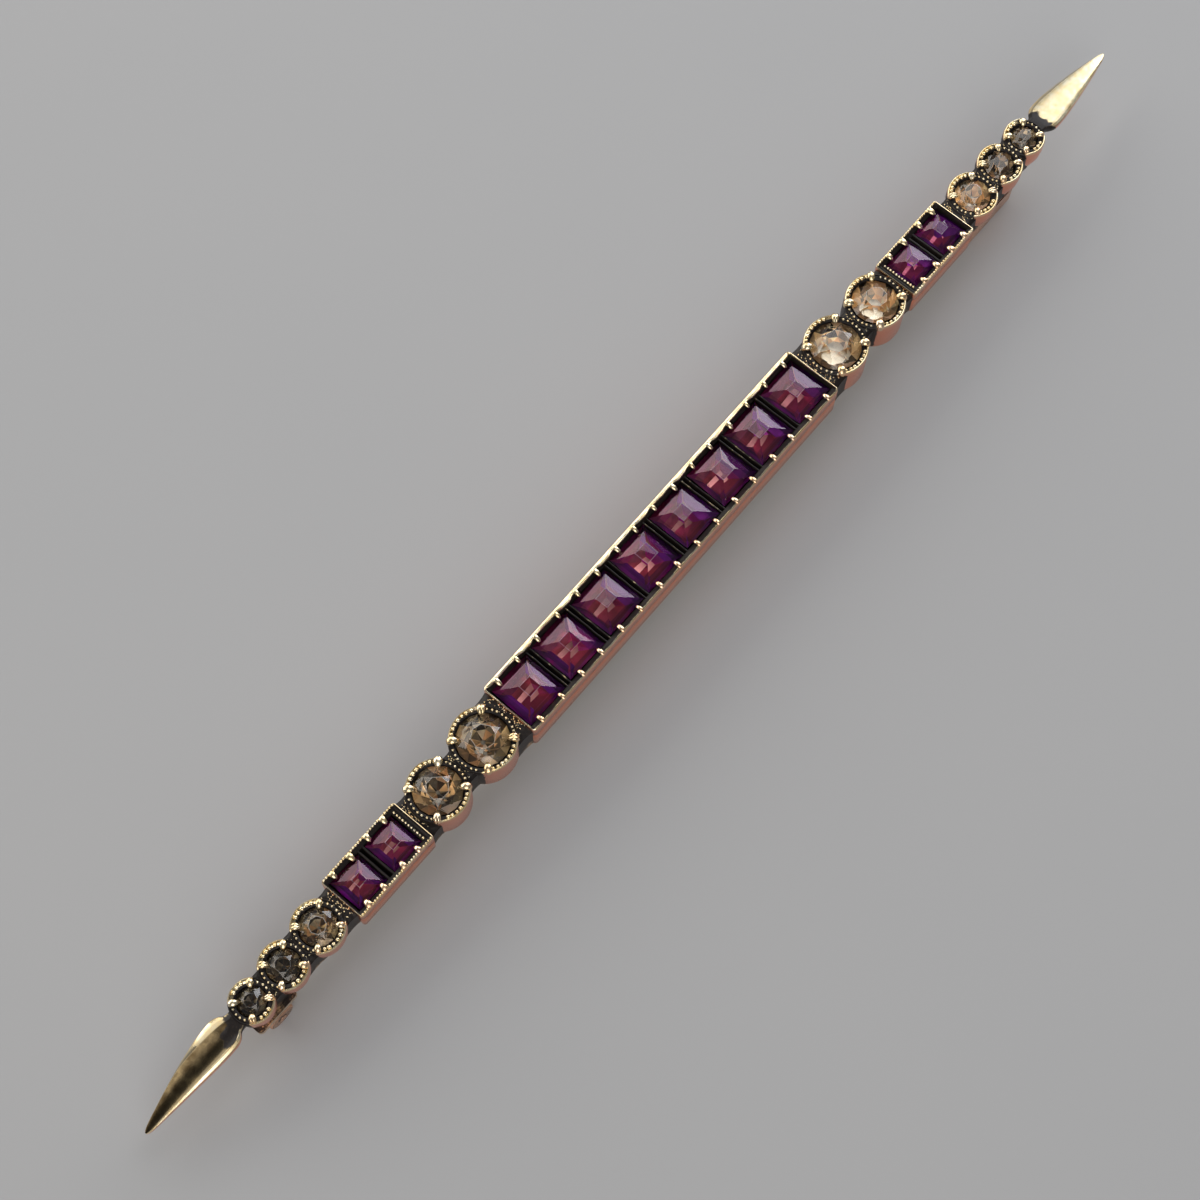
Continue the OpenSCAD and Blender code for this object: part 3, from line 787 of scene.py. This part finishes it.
# Sections of a leaf: share of the length, of the half width and of the thickness, as in the solids
LEAF = [
    (-0.03, 0.58, 1.0), (0.03, 0.63, 1.0), (0.06, 0.82, 1.0), (0.1, 0.96, 1.0), (0.17, 1.0, 1.0), (0.29, 0.95, 1.0),
    (0.43, 0.83, 0.95), (0.57, 0.69, 0.85), (0.71, 0.53, 0.75), (0.83, 0.38, 0.65), (0.93, 0.25, 0.5),
    (0.98, 0.15, 0.4), (1.0, 0.05, 0.3)
]
# Tarnish of each leaf's face, for points 4 to 12 of its outline; the left leaf's much heavier tarnish is partly
# painted shade
TARNISH_AND_SHADE = {
    -1: [0.66, 0.74, 0.90, 1.0, 1.0, 0.99, 0.97, 0.94, 0.90],
    1: [0.45, 0.45, 0.45, 0.4, 0.4, 0.4, 0.4, 0.35, 0.35]
}
# Share of the length at which each leaf's blackened neck ends
NECK_END = {-1: 0.1, 1: 0.13}


def leaf_shares(t):
    """Half width and thickness of a leaf at a share of its length, smooth between the sections."""
    for k in range(len(LEAF) - 1):
        if t <= LEAF[k + 1][0]:
            break
    p = [LEAF[min(max(k + d, 0), len(LEAF) - 1)] for d in (-1, 0, 1, 2)]
    step = p[2][0] - p[1][0]
    u = (t - p[1][0]) / step
    out = []
    for c in (1, 2):
        slope1 = (p[2][c] - p[0][c]) / (p[2][0] - p[0][0]) * step
        slope2 = (p[3][c] - p[1][c]) / (p[3][0] - p[1][0]) * step
        out.append((2 * u ** 3 - 3 * u ** 2 + 1) * p[1][c] + (u ** 3 - 2 * u ** 2 + u) * slope1
                   + (-2 * u ** 3 + 3 * u ** 2) * p[2][c] + (u ** 3 - u ** 2) * slope2)
    return max(out[0], 0.02), max(out[1], 0.2)


def leaf_tip(side):
    """A hollowed leaf with polished edges and a blackened neck. A point of its outline is (share of the half width,
    height as a share of the thickness, patina, painted rosy reflection). Points 7 to 13 lie in the hollow, with
    heights in millimetres. crest is where the +Y bevel meets the hollow."""
    last = ROUND[side][-1]
    root = abs(last.x) + last.size / 2 + BEZEL[-1]
    rings = []
    for j in range(61):
        t = -0.03 + 1.03 * j / 60
        half, thick = leaf_shares(t)
        dish = LEAF_DISH[side] * smooth_step(0.02, 0.12, t) * half
        half *= LEAF_HALF
        thick *= LEAF_T
        curve = max(0, (t - LEAF_CURVE_START) / (1 - LEAF_CURVE_START)) ** LEAF_CURVE_POWER
        z = last.rim - LEAF_ROOT_DROP - LEAF_DROP[side] * curve
        crest = 0.42 + 0.45 * smooth_step(0.05, 0.62, t) if side < 0 else 0.75
        outline = [
            (0.97, -0.66, 0.2, 0.9), (1.0, -0.44, 0.1, 0.7), (0.985, -0.36, -0.2, 0.2), (0.94, -0.30, -0.3, 0),
            ((crest + 0.94) / 2, (crest - 1) * 0.25 - 0.08, -0.3, 0), (crest + 0.01, -0.03, -0.3, 0),
            (crest, 0.0, -0.2, 0), (crest - 0.06, -0.12 * dish, 0.0, 0), (crest - 0.25, -0.6 * dish, 0.1, 0),
            (0.0, -dish, 0.1, 0), (-0.25, -0.95 * dish, 0.1, 0), (-0.5, -0.8 * dish, 0.1, 0),
            (-0.68, -0.5 * dish, 0.1, 0), (-0.76, -0.15 * dish, -0.1, 0), (-0.79, 0.0, -0.3, 0),
            (-0.93, -0.05, -0.3, 0), (-0.98, -0.13, -0.2, 0.6), (-1.0, -0.3, 0.05, 1.0), (-0.97, -0.66, 0.2, 1.0),
            (-0.85, -0.86, 0.35, 0.8), (-0.55, -0.98, 0.35, 0.6), (0.0, -1.0, 0.35, 0.5), (0.55, -0.98, 0.35, 0.6),
            (0.85, -0.86, 0.3, 0.8)
        ]
        ring = []
        for n, (share, up, patina_and_shade, rosy_reflection) in enumerate(outline):
            rise = up if 6 < n < 14 else up * thick
            soot_and_shade_end = NECK_END[side] + 0.06 * wobble(share * 5, t * 12, 30 + side)
            # On the left leaf the black runs further up the hollow: painted shade
            if side < 0 and 8 < n < 14:
                soot_and_shade_end += 0.12
            worn = patina_and_shade + 1.2 * smooth_step(soot_and_shade_end, soot_and_shade_end - 0.09, t)
            ring.append((side * (root + t * LEAF_LEN), share * half, z + rise, min(worn, 1.1), rosy_reflection))
        rings.append(ring)
    bm = start()
    tarnish_and_shade = bm.verts.layers.float.new("tarnish_and_shade")
    skin(bm, rings)
    # Tarnish of the face, partly painted shade on the left leaf
    for n, v in enumerate(bm.verts):
        across = n % len(outline)
        v[tarnish_and_shade] = TARNISH_AND_SHADE[side][across - 4] if 4 <= across <= 12 else 0.0
    piece(bm, f"leaf_tip_{NAME[side]}", LEAF_GILT, "old_gilt", "frame", sharp=30)


# Stones and the foils under them

# A stone's materials, by their slots in its mesh
GLASS, WORN, FOIL = 0, 1, 2
# The width of its worn edges, and its size as a share of its solid's
EDGE_WEAR = 0.03
STONE_FIT = 0.985


def facet(bm, face, painted_light, warm=0.0, kind=GLASS):
    """Gives a facet its painted light and warmth. Glass facets at 1 are clear and lower ones have painted shade; on
    foil facets they are painted reflections and glints.
    """
    face[bm.faces.layers.float["painted_light"]] = painted_light
    face[bm.faces.layers.float["warm"]] = warm
    face.material_index = kind


def start_stone():
    """An empty mesh whose faces carry painted light and warmth."""
    bm = start()
    bm.faces.layers.float.new("painted_light")
    bm.faces.layers.float.new("warm")
    return bm


def stone_piece(bm, stone, name, slot, glass, worn, foil, table_wear):
    """A cut stone with flat facets and worn edges, turned and leaned a little as set by hand. The edges of its table
    are worn to a width of their own."""
    table = max(v.co.z for v in bm.verts) - 0.1

    def wear(is_worn, width):
        edges = [e for e in bm.edges if e.calc_face_angle(0.0) > radians(5) and is_worn(e)]
        bmesh.ops.bevel(bm, geom=edges, offset=width, segments=1, affect="EDGES", material=WORN)

    def heights(edge):
        return sorted(v.co.z for v in edge.verts)

    wear(lambda edge: heights(edge)[1] > 0.02 and heights(edge)[0] < table, EDGE_WEAR)
    wear(lambda edge: heights(edge)[0] > table, table_wear)
    bmesh.ops.triangulate(bm, faces=bm.faces)
    lean = Matrix()
    for limit, axis in ((2.2, "X"), (2.2, "Y"), (1.0, "Z")):
        lean = lean @ Matrix.Rotation(radians(chance(-limit, limit)), 4, axis)
    place = Matrix.Translation((stone.x, 0, stone.girdle))
    bmesh.ops.transform(bm, matrix=place @ lean, verts=bm.verts)
    obj = piece(bm, name, glass, slot, stone.node, sharp=1)
    obj.data.materials.append(worn)
    obj.data.materials.append(foil)
    for f in obj.data.polygons:
        f.use_smooth = False


def square_ring(half, z, shift=(0, 0)):
    """A square whose sides are cut by hand: its corners stray a little."""
    stray = 0.025 * half
    corners = []
    for sx, sy in ((-1, -1), (1, -1), (1, 1), (-1, 1)):
        x = sx * half + shift[0] + chance(-stray, stray)
        y = sy * half + shift[1] + chance(-stray, stray)
        corners.append((x, y, z, 0, 0))
    return corners


# The foil seen through an amethyst, with painted reflections and glints: (brightness, warmth) on the -Y, +X, +Y
# and -X sides, from the middle outwards
AMETHYST_FOIL = [
    [(0.55, 0.5), (0.8, 0.3), (1.0, 1.0), (0.8, 0.5)],
    [(0.38, 0.36), (0.8, 0.1), (1.0, 0.75), (0.5, 0.0)],
    [(0.5, 0.0), (0.45, 0.0), (1.0, 0.5), (0.75, 0.0)]
]
# How much light the lower crown facets keep on the same four sides; the low ones are painted shade
CROWN_UNSHADED = (0.4, 0.04, 0.06, 0.55)


def square_stone(stone, name):
    """A stepped square cut: three steps below the girdle, down to a small skewed culet, and two above it."""
    side = stone.size * STONE_FIT
    h = side / 2
    depth = 0.42 * side
    rise = CROWN * side
    off = (chance(-0.06, 0.06) * h, chance(-0.06, 0.06) * h)
    bm = start_stone()
    # The culet is set off towards -X and +Y and drawn out across the bar; its foil is a painted warm glint
    glint = (-h * chance(0.0, 0.2), h * chance(0.0, 0.16))
    culet = []
    for x, y, z, _, _ in square_ring(1.0, -0.12 - depth * 0.95):
        culet_x = x * h * chance(0.2, 0.42) + glint[0]
        culet.append((culet_x, y * h * chance(0.06, 0.16) + glint[1], z, 0, 0))
    belts = skin(bm, [
        culet,
        square_ring(h * 0.44, -0.12 - depth * 0.60, off),
        square_ring(h * 0.70, -0.12 - depth * 0.34),
        square_ring(h, -0.10),
        square_ring(h, 0.0),
        square_ring(h * 0.77, rise * 0.39),
        square_ring(h * (0.27 + chance(-0.03, 0.05)), rise * 0.985, off)
    ])
    # Painted light that turns cooler towards +X: the foils of stones further that way are less warm
    painted_cool_light = 0.22 * smooth_step(5, 38, stone.x)
    for face in bm.faces:
        facet(bm, face, 1.0)
        # Painted glint on the culet
        if face.calc_center_median().z < -0.9 * depth:
            facet(bm, face, chance(0.25, 0.8), 0.9 - painted_cool_light, FOIL)
    # The pavilion's foil: painted reflections and glints, side by side
    for belt, tones in zip(belts, AMETHYST_FOIL):
        for face, (painted_light, warm) in zip(belt, tones):
            facet(bm, face, painted_light * chance(0.6, 1.2), warm - painted_cool_light + chance(-0.15, 0.15), FOIL)
    # The girdle's foil is black: painted shade
    for face in belts[3]:
        facet(bm, face, 0.0, 0.0, FOIL)
    # The lower crown facets get painted shade, darkest on the +X and +Y sides
    for face, unshaded in zip(belts[4], CROWN_UNSHADED):
        facet(bm, face, unshaded)
    stone_piece(bm, stone, name, "purple_stone", AMETHYST, AMETHYST_EDGE, VIOLET_FOIL, 0.012)


# The foil seen through a paste, with painted reflections and glints, wedge by wedge from +X round by +Y:
# (brightness, warmth)
PASTE_FOIL = [(0.8, 0.9), (0.35, 0.7), (1.5, 0.45), (0.5, 0.6), (0.3, 1.0), (2.2, 0.0), (0.5, 0.7), (0.9, 0.8)]
# A paste's foil, outwards from the long box: how bright it is at its edge and under the table, and the culet's
# size and brightness. All this brightness is painted light, highest under the tables of the two right-hand
# stones next to the long box.
PAINTED_FOIL_LIGHT = {
    -1: [(1.2, 1.2, 0.09, 0.3), (1.6, 1.3, 0.09, 0.3), (1.3, 1.3, 0.09, 0.3), (0.5, 0.4, 0.09, 0.1),
         (0.5, 0.4, 0.09, 0.1)],
    1: [(1.6, 5.0, 0.34, 1.0), (1.6, 5.0, 0.30, 1.0), (2.0, 2.4, 0.12, 0.5), (0.8, 0.8, 0.09, 0.2),
        (0.7, 0.7, 0.09, 0.2)]
}


def round_stone(stone, name, light):
    """An old cut: an eight-sided table, stars, kites, upper and lower girdle facets and an open culet. light is its
    row of the foils' painted brightness, given above."""
    edge_light, table_light, culet_share, culet_light = light
    r = stone.size / 2 * STONE_FIT
    rise = CROWN * stone.size
    deep = 0.40 * stone.size
    half = pi / 8
    turn = chance(0, half)
    bm = start_stone()

    def ring(count, share, z, first=0.0, stray=0.02):
        points = []
        for k in range(count):
            a = turn + first + 2 * pi * k / count
            reach = r * share * (1 + chance(-stray, stray))
            height = z * (1 + chance(-stray, stray))
            points.append(bm.verts.new((reach * cos(a), reach * sin(a), height)))
        return points

    table = ring(8, 0.46, rise, stray=0.0)
    star = ring(8, 0.74, rise * 0.55, half, 0.01)
    upper = ring(16, 1.0, 0.0, stray=0.0)
    lower = ring(16, 1.0, -0.11, stray=0.0)
    low = ring(8, 0.44, -0.12 - deep * 0.60, half, 0.02)
    culet = ring(8, culet_share, -0.12 - deep, 0.0, 0.0)
    bm.faces.new(table)
    for k in range(8):
        n = (k + 1) % 8
        bm.faces.new((table[k], star[k], table[n]))
        bm.faces.new((table[k], star[k - 1], upper[2 * k], star[k]))
        bm.faces.new((star[k], upper[2 * k], upper[2 * k + 1]))
        bm.faces.new((star[k], upper[2 * k + 1], upper[(2 * k + 2) % 16]))
    for face in bm.faces:
        facet(bm, face, 1.0)
    # Painted glint on the open culet, large and pale in the two right-hand stones next to the long box
    facet(bm, bm.faces.new(culet[::-1]), culet_light, 0.3, FOIL)
    # The foil under each wedge: painted reflections and glints
    for k, (painted_light, warm) in enumerate(PASTE_FOIL):
        n = (k + 1) % 8
        at_edge = [bm.faces.new((low[k], lower[2 * k + 1], lower[2 * k])),
                   bm.faces.new((low[k], lower[(2 * k + 2) % 16], lower[2 * k + 1])),
                   bm.faces.new((low[k - 1], low[k], lower[2 * k]))]
        under_table = [bm.faces.new((culet[k], low[k], low[k - 1])), bm.faces.new((culet[k], culet[n], low[k]))]
        for faces, bright in ((at_edge, painted_light * edge_light), (under_table, table_light * painted_light ** 0.5)):
            for face in faces:
                facet(bm, face, bright * chance(0.35, 1.25) ** 3, warm + chance(-0.2, 0.2), FOIL)
    # The girdle's foil is black: painted shade
    for k in range(16):
        n = (k + 1) % 16
        facet(bm, bm.faces.new((upper[k], lower[k], lower[n], upper[n])), 0.0, 0.0, FOIL)
    table_wear = 0.018 if r > 1.4 else 0.006
    stone_piece(bm, stone, name, "clear_stone", PASTE, PASTE_EDGE, GREY_FOIL, table_wear)


# Pin fittings

# Height of the pin's middle and radius of its wire, the length of its point, the radius and the width of its eye,
# the width of the hinge, and the thickness of the metal that the fittings are made of
PIN_Z = 1.15
PIN_R = 0.45
POINT_LEN = 8.0
BARREL_R = 1.15
EYE_R = BARREL_R - 0.1
EYE_W = 1.1
HINGE_W = 3.3
STRIP = 0.5
STRIP_Z = BACK - STRIP


def base_plate(bm, x, half_x, half_y, corner, parts, rows, rosy_reflection):
    """A plate on the bar's back. A row is (inset, z, patina), parts are the last arguments of rounded_rectangle,
    and the last argument is the plate's painted rosy reflection."""
    plate = rounded_rectangle(half_x, half_y, corner, *parts)
    rings = []
    for inset, z, patina_and_shade in rows:
        share_x, share_y = 1 - inset / half_x, 1 - inset / half_y
        rings.append([(x + px * share_x, py * share_y, z, patina_and_shade, rosy_reflection) for px, py in plate])
    skin(bm, rings)


def bent_bar(bm, outline, x0, x1):
    """An outline in Y and Z, drawn out along X, with rounded ends."""
    rings = []
    edge = 0.06
    for x, inset in ((x0, edge), (x0 + edge * 0.4, edge * 0.3), (x0 + edge, 0), (x1 - edge, 0),
                     (x1 - edge * 0.4, edge * 0.3), (x1, edge)):
        ring = []
        for k, (y, z) in enumerate(outline):
            a, b = Vector(outline[k - 1]), Vector(outline[(k + 1) % len(outline)])
            normal = Vector(((b - a).y, -(b - a).x)).normalized()
            ring.append((x, y - normal.x * inset, z - normal.y * inset, 0.25, 0.6))
        rings.append(ring)
    skin(bm, rings)


def turned_ring(x, y, z, r, steps, patina_and_shade, rosy_reflection):
    """Points round the line through x and z across the bar."""
    angles = [2 * pi * k / steps for k in range(steps)]
    return [(x + r * cos(a), y, z + r * sin(a), patina_and_shade, rosy_reflection) for a in angles]


def turned_bar(bm, x, z, rows, steps=40):
    """A body turned about the line through x and z across the bar. A row is (y, radius, patina)."""
    skin(bm, [turned_ring(x, y, z, r, steps, patina_and_shade, 0.6) for y, r, patina_and_shade in rows])


def hinge():
    """Two barrels on necks under a plate, with the rivet through them and its flattened heads."""
    x = -(abs(ROUND[-1][-1].x) - 0.7)
    barrel = (HINGE_W - EYE_W) / 2 - 0.05
    half = HINGE_W / 2
    bm = start()
    base_plate(bm, x, 2.0, half, 0.35, (10, 8, 5),
               ((0.08, STRIP_Z, 0.3), (0.02, STRIP_Z + 0.03, 0.2), (0.0, STRIP_Z + 0.1, 0.2), (0.0, BACK - 0.02, 0.5),
                (0.0, BACK + 0.25, 0.8)), 0.2)
    for s in (-1, 1):
        mid = s * (half - barrel / 2)
        low, high = mid - barrel / 2, mid + barrel / 2
        turned_bar(bm, x, PIN_Z, [(low, BARREL_R - 0.12, 0.6), (low + 0.03, BARREL_R - 0.03, 0.3),
                                  (low + 0.09, BARREL_R, 0.1), (high - 0.09, BARREL_R, 0.1),
                                  (high - 0.03, BARREL_R - 0.03, 0.3), (high, BARREL_R - 0.12, 0.6)])
        turned_bar(bm, x, PIN_Z, [(s * (half - 0.15), 0.36, 1), (s * (half + 0.001), 0.36, 0.9),
                                  (s * (half + 0.06), 0.34, 0.5), (s * (half + 0.10), 0.24, 0.4),
                                  (s * (half + 0.11), 0.1, 0.4)], 24)
        rings = []
        for z, neck in ((PIN_Z, 0.8), (STRIP_Z - 0.1, 0.8), (STRIP_Z + 0.05, 0.896)):
            loop = rounded_rectangle(neck, barrel / 2 - 0.03, 0.08, 4, 4, 3)
            rings.append([(x + px, mid + py, z, 0.25, 0.4) for px, py in loop])
        skin(bm, rings)
    turned_bar(bm, x, PIN_Z, [(-half + 0.3, 0.4, 1), (half - 0.3, 0.4, 1)], 24)
    frame_piece(bm, "hinge")


def catch():
    """The hook that holds the pin's point: a strip bent under the pin and up again."""
    x_mid = (abs(ROUND[1][2].x) + abs(ROUND[1][3].x)) / 2
    half_len = 2.8
    back = -1.45
    inner = PIN_R + 0.3
    front = inner + STRIP
    bend = back + STRIP
    outline = [(back, BACK - 0.05), (back, 0.42), (back + 0.08, 0.2), (back + 0.22, 0.06), (back + 0.42, 0.0),
               (front - 0.42, 0.0), (front - 0.22, 0.06), (front - 0.08, 0.2), (front, 0.42), (front, PIN_Z - 0.08),
               (front - 0.08, PIN_Z), (inner + 0.08, PIN_Z), (inner, PIN_Z - 0.08), (inner, 0.66),
               (inner - 0.14, STRIP + 0.02), (inner - 0.3, STRIP), (bend + 0.3, STRIP), (bend + 0.12, STRIP + 0.05),
               (bend, 0.75), (bend, BACK - 0.05)]
    bm = start()
    bent_bar(bm, outline, x_mid - half_len, x_mid + half_len)
    base_plate(bm, x_mid, half_len, -back, 0.3, (12, 6, 5),
               ((0.06, STRIP_Z, 0.3), (0.0, STRIP_Z + 0.06, 0.2), (0.0, BACK - 0.02, 0.4), (0.0, BACK + 0.25, 0.9)),
               0.6)
    frame_piece(bm, "catch")


def pin():
    """The pin: an eye round the hinge's rivet, a stem and a long point."""
    low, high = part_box("pin")
    x_eye = low.x / MM + EYE_R
    tip = high.x / MM
    bm = start()
    half = EYE_W / 2
    bore = 0.46
    rows = [(-half + 0.08, EYE_R), (half - 0.08, EYE_R), (half - 0.02, EYE_R - 0.03), (half, EYE_R - 0.1),
            (half, bore + 0.07), (half - 0.08, bore), (-half + 0.08, bore), (-half, bore + 0.07),
            (-half, EYE_R - 0.1), (-half + 0.02, EYE_R - 0.03)]
    skin(bm, [turned_ring(x_eye, y, PIN_Z, r, 40, 0.2, 0.1) for y, r in rows], loop=True)
    shoulder = x_eye + 0.75
    straight = tip - POINT_LEN - shoulder - 0.6
    stations = [(shoulder, PIN_R)]
    stations += [(shoulder + 0.6 + straight * k / 12, PIN_R) for k in range(13)]
    stations += [(tip - POINT_LEN * (1 - t), PIN_R * (1 - 0.85 * t ** 1.15))
                 for t in (0.15, 0.3, 0.45, 0.6, 0.75, 0.88, 0.96)]
    stations += [(tip - 0.06, PIN_R * 0.14), (tip, PIN_R * 0.06)]
    rings = []
    for x, r in stations:
        rings.append([(x, r * cos(2 * pi * k / 24), PIN_Z + r * sin(2 * pi * k / 24), 0.1, 0.0)
                      for k in range(24)])
    skin(bm, rings)
    piece(bm, "pin_wire", PIN_GILT, "pin_gilt", "pin")


# Build

long_box()
for side in (-1, 1):
    small_box(side)
    for i in range(5):
        collet(side, i)
    collet_grains(side)
    waists(side)
    leaf_tip(side)
    for i, stone in enumerate(SMALL[side], 1):
        square_stone(stone, f"amethyst_{NAME[side]}_{i}")
    for i, (stone, light) in enumerate(zip(ROUND[side], PAINTED_FOIL_LIGHT[side]), 1):
        round_stone(stone, f"paste_{NAME[side]}_{i}", light)
for i, stone in enumerate(LONG, 1):
    square_stone(stone, f"amethyst_long_{i}")
hinge()
catch()
pin()


# Stage, in metres

FLOOR_HALF = 1.5


def floor():
    """The plain pale floor that the brooch lies on."""
    mesh = bpy.data.meshes.new("floor")
    bm = bmesh.new()
    bmesh.ops.create_grid(bm, x_segments=8, y_segments=8, size=FLOOR_HALF)
    bm.to_mesh(mesh)
    bm.free()
    s = Shader("pale_floor")
    s.link(s.mix(s.noise(60.0, 3.0), (0.345, 0.35, 0.355), (0.37, 0.37, 0.37)), s.body.inputs["Base Color"])
    s.body.inputs["Roughness"].default_value = 0.75
    mesh.materials.append(s.material)
    add_object("floor", mesh)


def softbox(name, azimuth, elevation, distance, width, height, brightness, colour):
    """A soft light that faces the brooch. Azimuth 0 is along +X and 90 along +Y. At brightness 1 it looks as white
    as the picture's white."""
    a, e = radians(azimuth), radians(elevation)
    place = Vector((cos(a) * cos(e), sin(a) * cos(e), sin(e))) * distance
    light = bpy.data.lights.new(name, "AREA")
    light.shape = "RECTANGLE"
    light.size = width
    light.size_y = height
    light.energy = 4 * width * height * brightness
    light.color = colour
    obj = add_object(name, light)
    obj.location = place
    obj.rotation_euler = (-place).to_track_quat("-Z", "Y").to_euler()


def camera():
    """The camera at the photograph's angle."""
    data = bpy.data.cameras.new("camera")
    data.lens = CAMERA_LENS
    data.sensor_width = SENSOR
    data.clip_start = 0.005
    data.clip_end = 10
    obj = add_object("camera", data)
    look = (CAMERA_TARGET - CAMERA_PLACE).to_track_quat("-Z", "Y").to_matrix().to_4x4()
    obj.matrix_world = Matrix.Translation(CAMERA_PLACE) @ look @ Matrix.Rotation(-CAMERA_ROLL, 4, "Z")
    bpy.context.scene.camera = obj


def world():
    """A weak and slightly blue light from all round."""
    made = bpy.data.worlds.new("studio")
    made.use_nodes = True
    background = made.node_tree.nodes["Background"]
    background.inputs["Color"].default_value = (0.90, 0.93, 1.0, 1)
    background.inputs["Strength"].default_value = 0.18
    bpy.context.scene.world = made


floor()
camera()
world()
softbox("key_window", 94, 26, 0.6, 0.98, 0.44, 1.9, (1.0, 0.96, 0.90))
softbox("side_window", 12, 18, 0.6, 0.40, 0.30, 3.4, (0.90, 0.93, 1.0))
softbox("side_sky", 22, 51, 0.6, 0.42, 0.38, 1.7, (0.95, 0.97, 1.0))
softbox("front_panel", 224, 60, 0.7, 0.45, 0.42, 1.1, (1.0, 0.96, 0.94))
softbox("fill_panel", 226, 36, 0.7, 0.55, 0.4, 2.0, (1.0, 0.95, 0.90))

# Enough bounces for light to pass into the stones and out again
scene = bpy.context.scene
scene.view_settings.view_transform = "Standard"
scene.cycles.glossy_bounces = 10
scene.cycles.transmission_bounces = 14
scene.cycles.max_bounces = 20
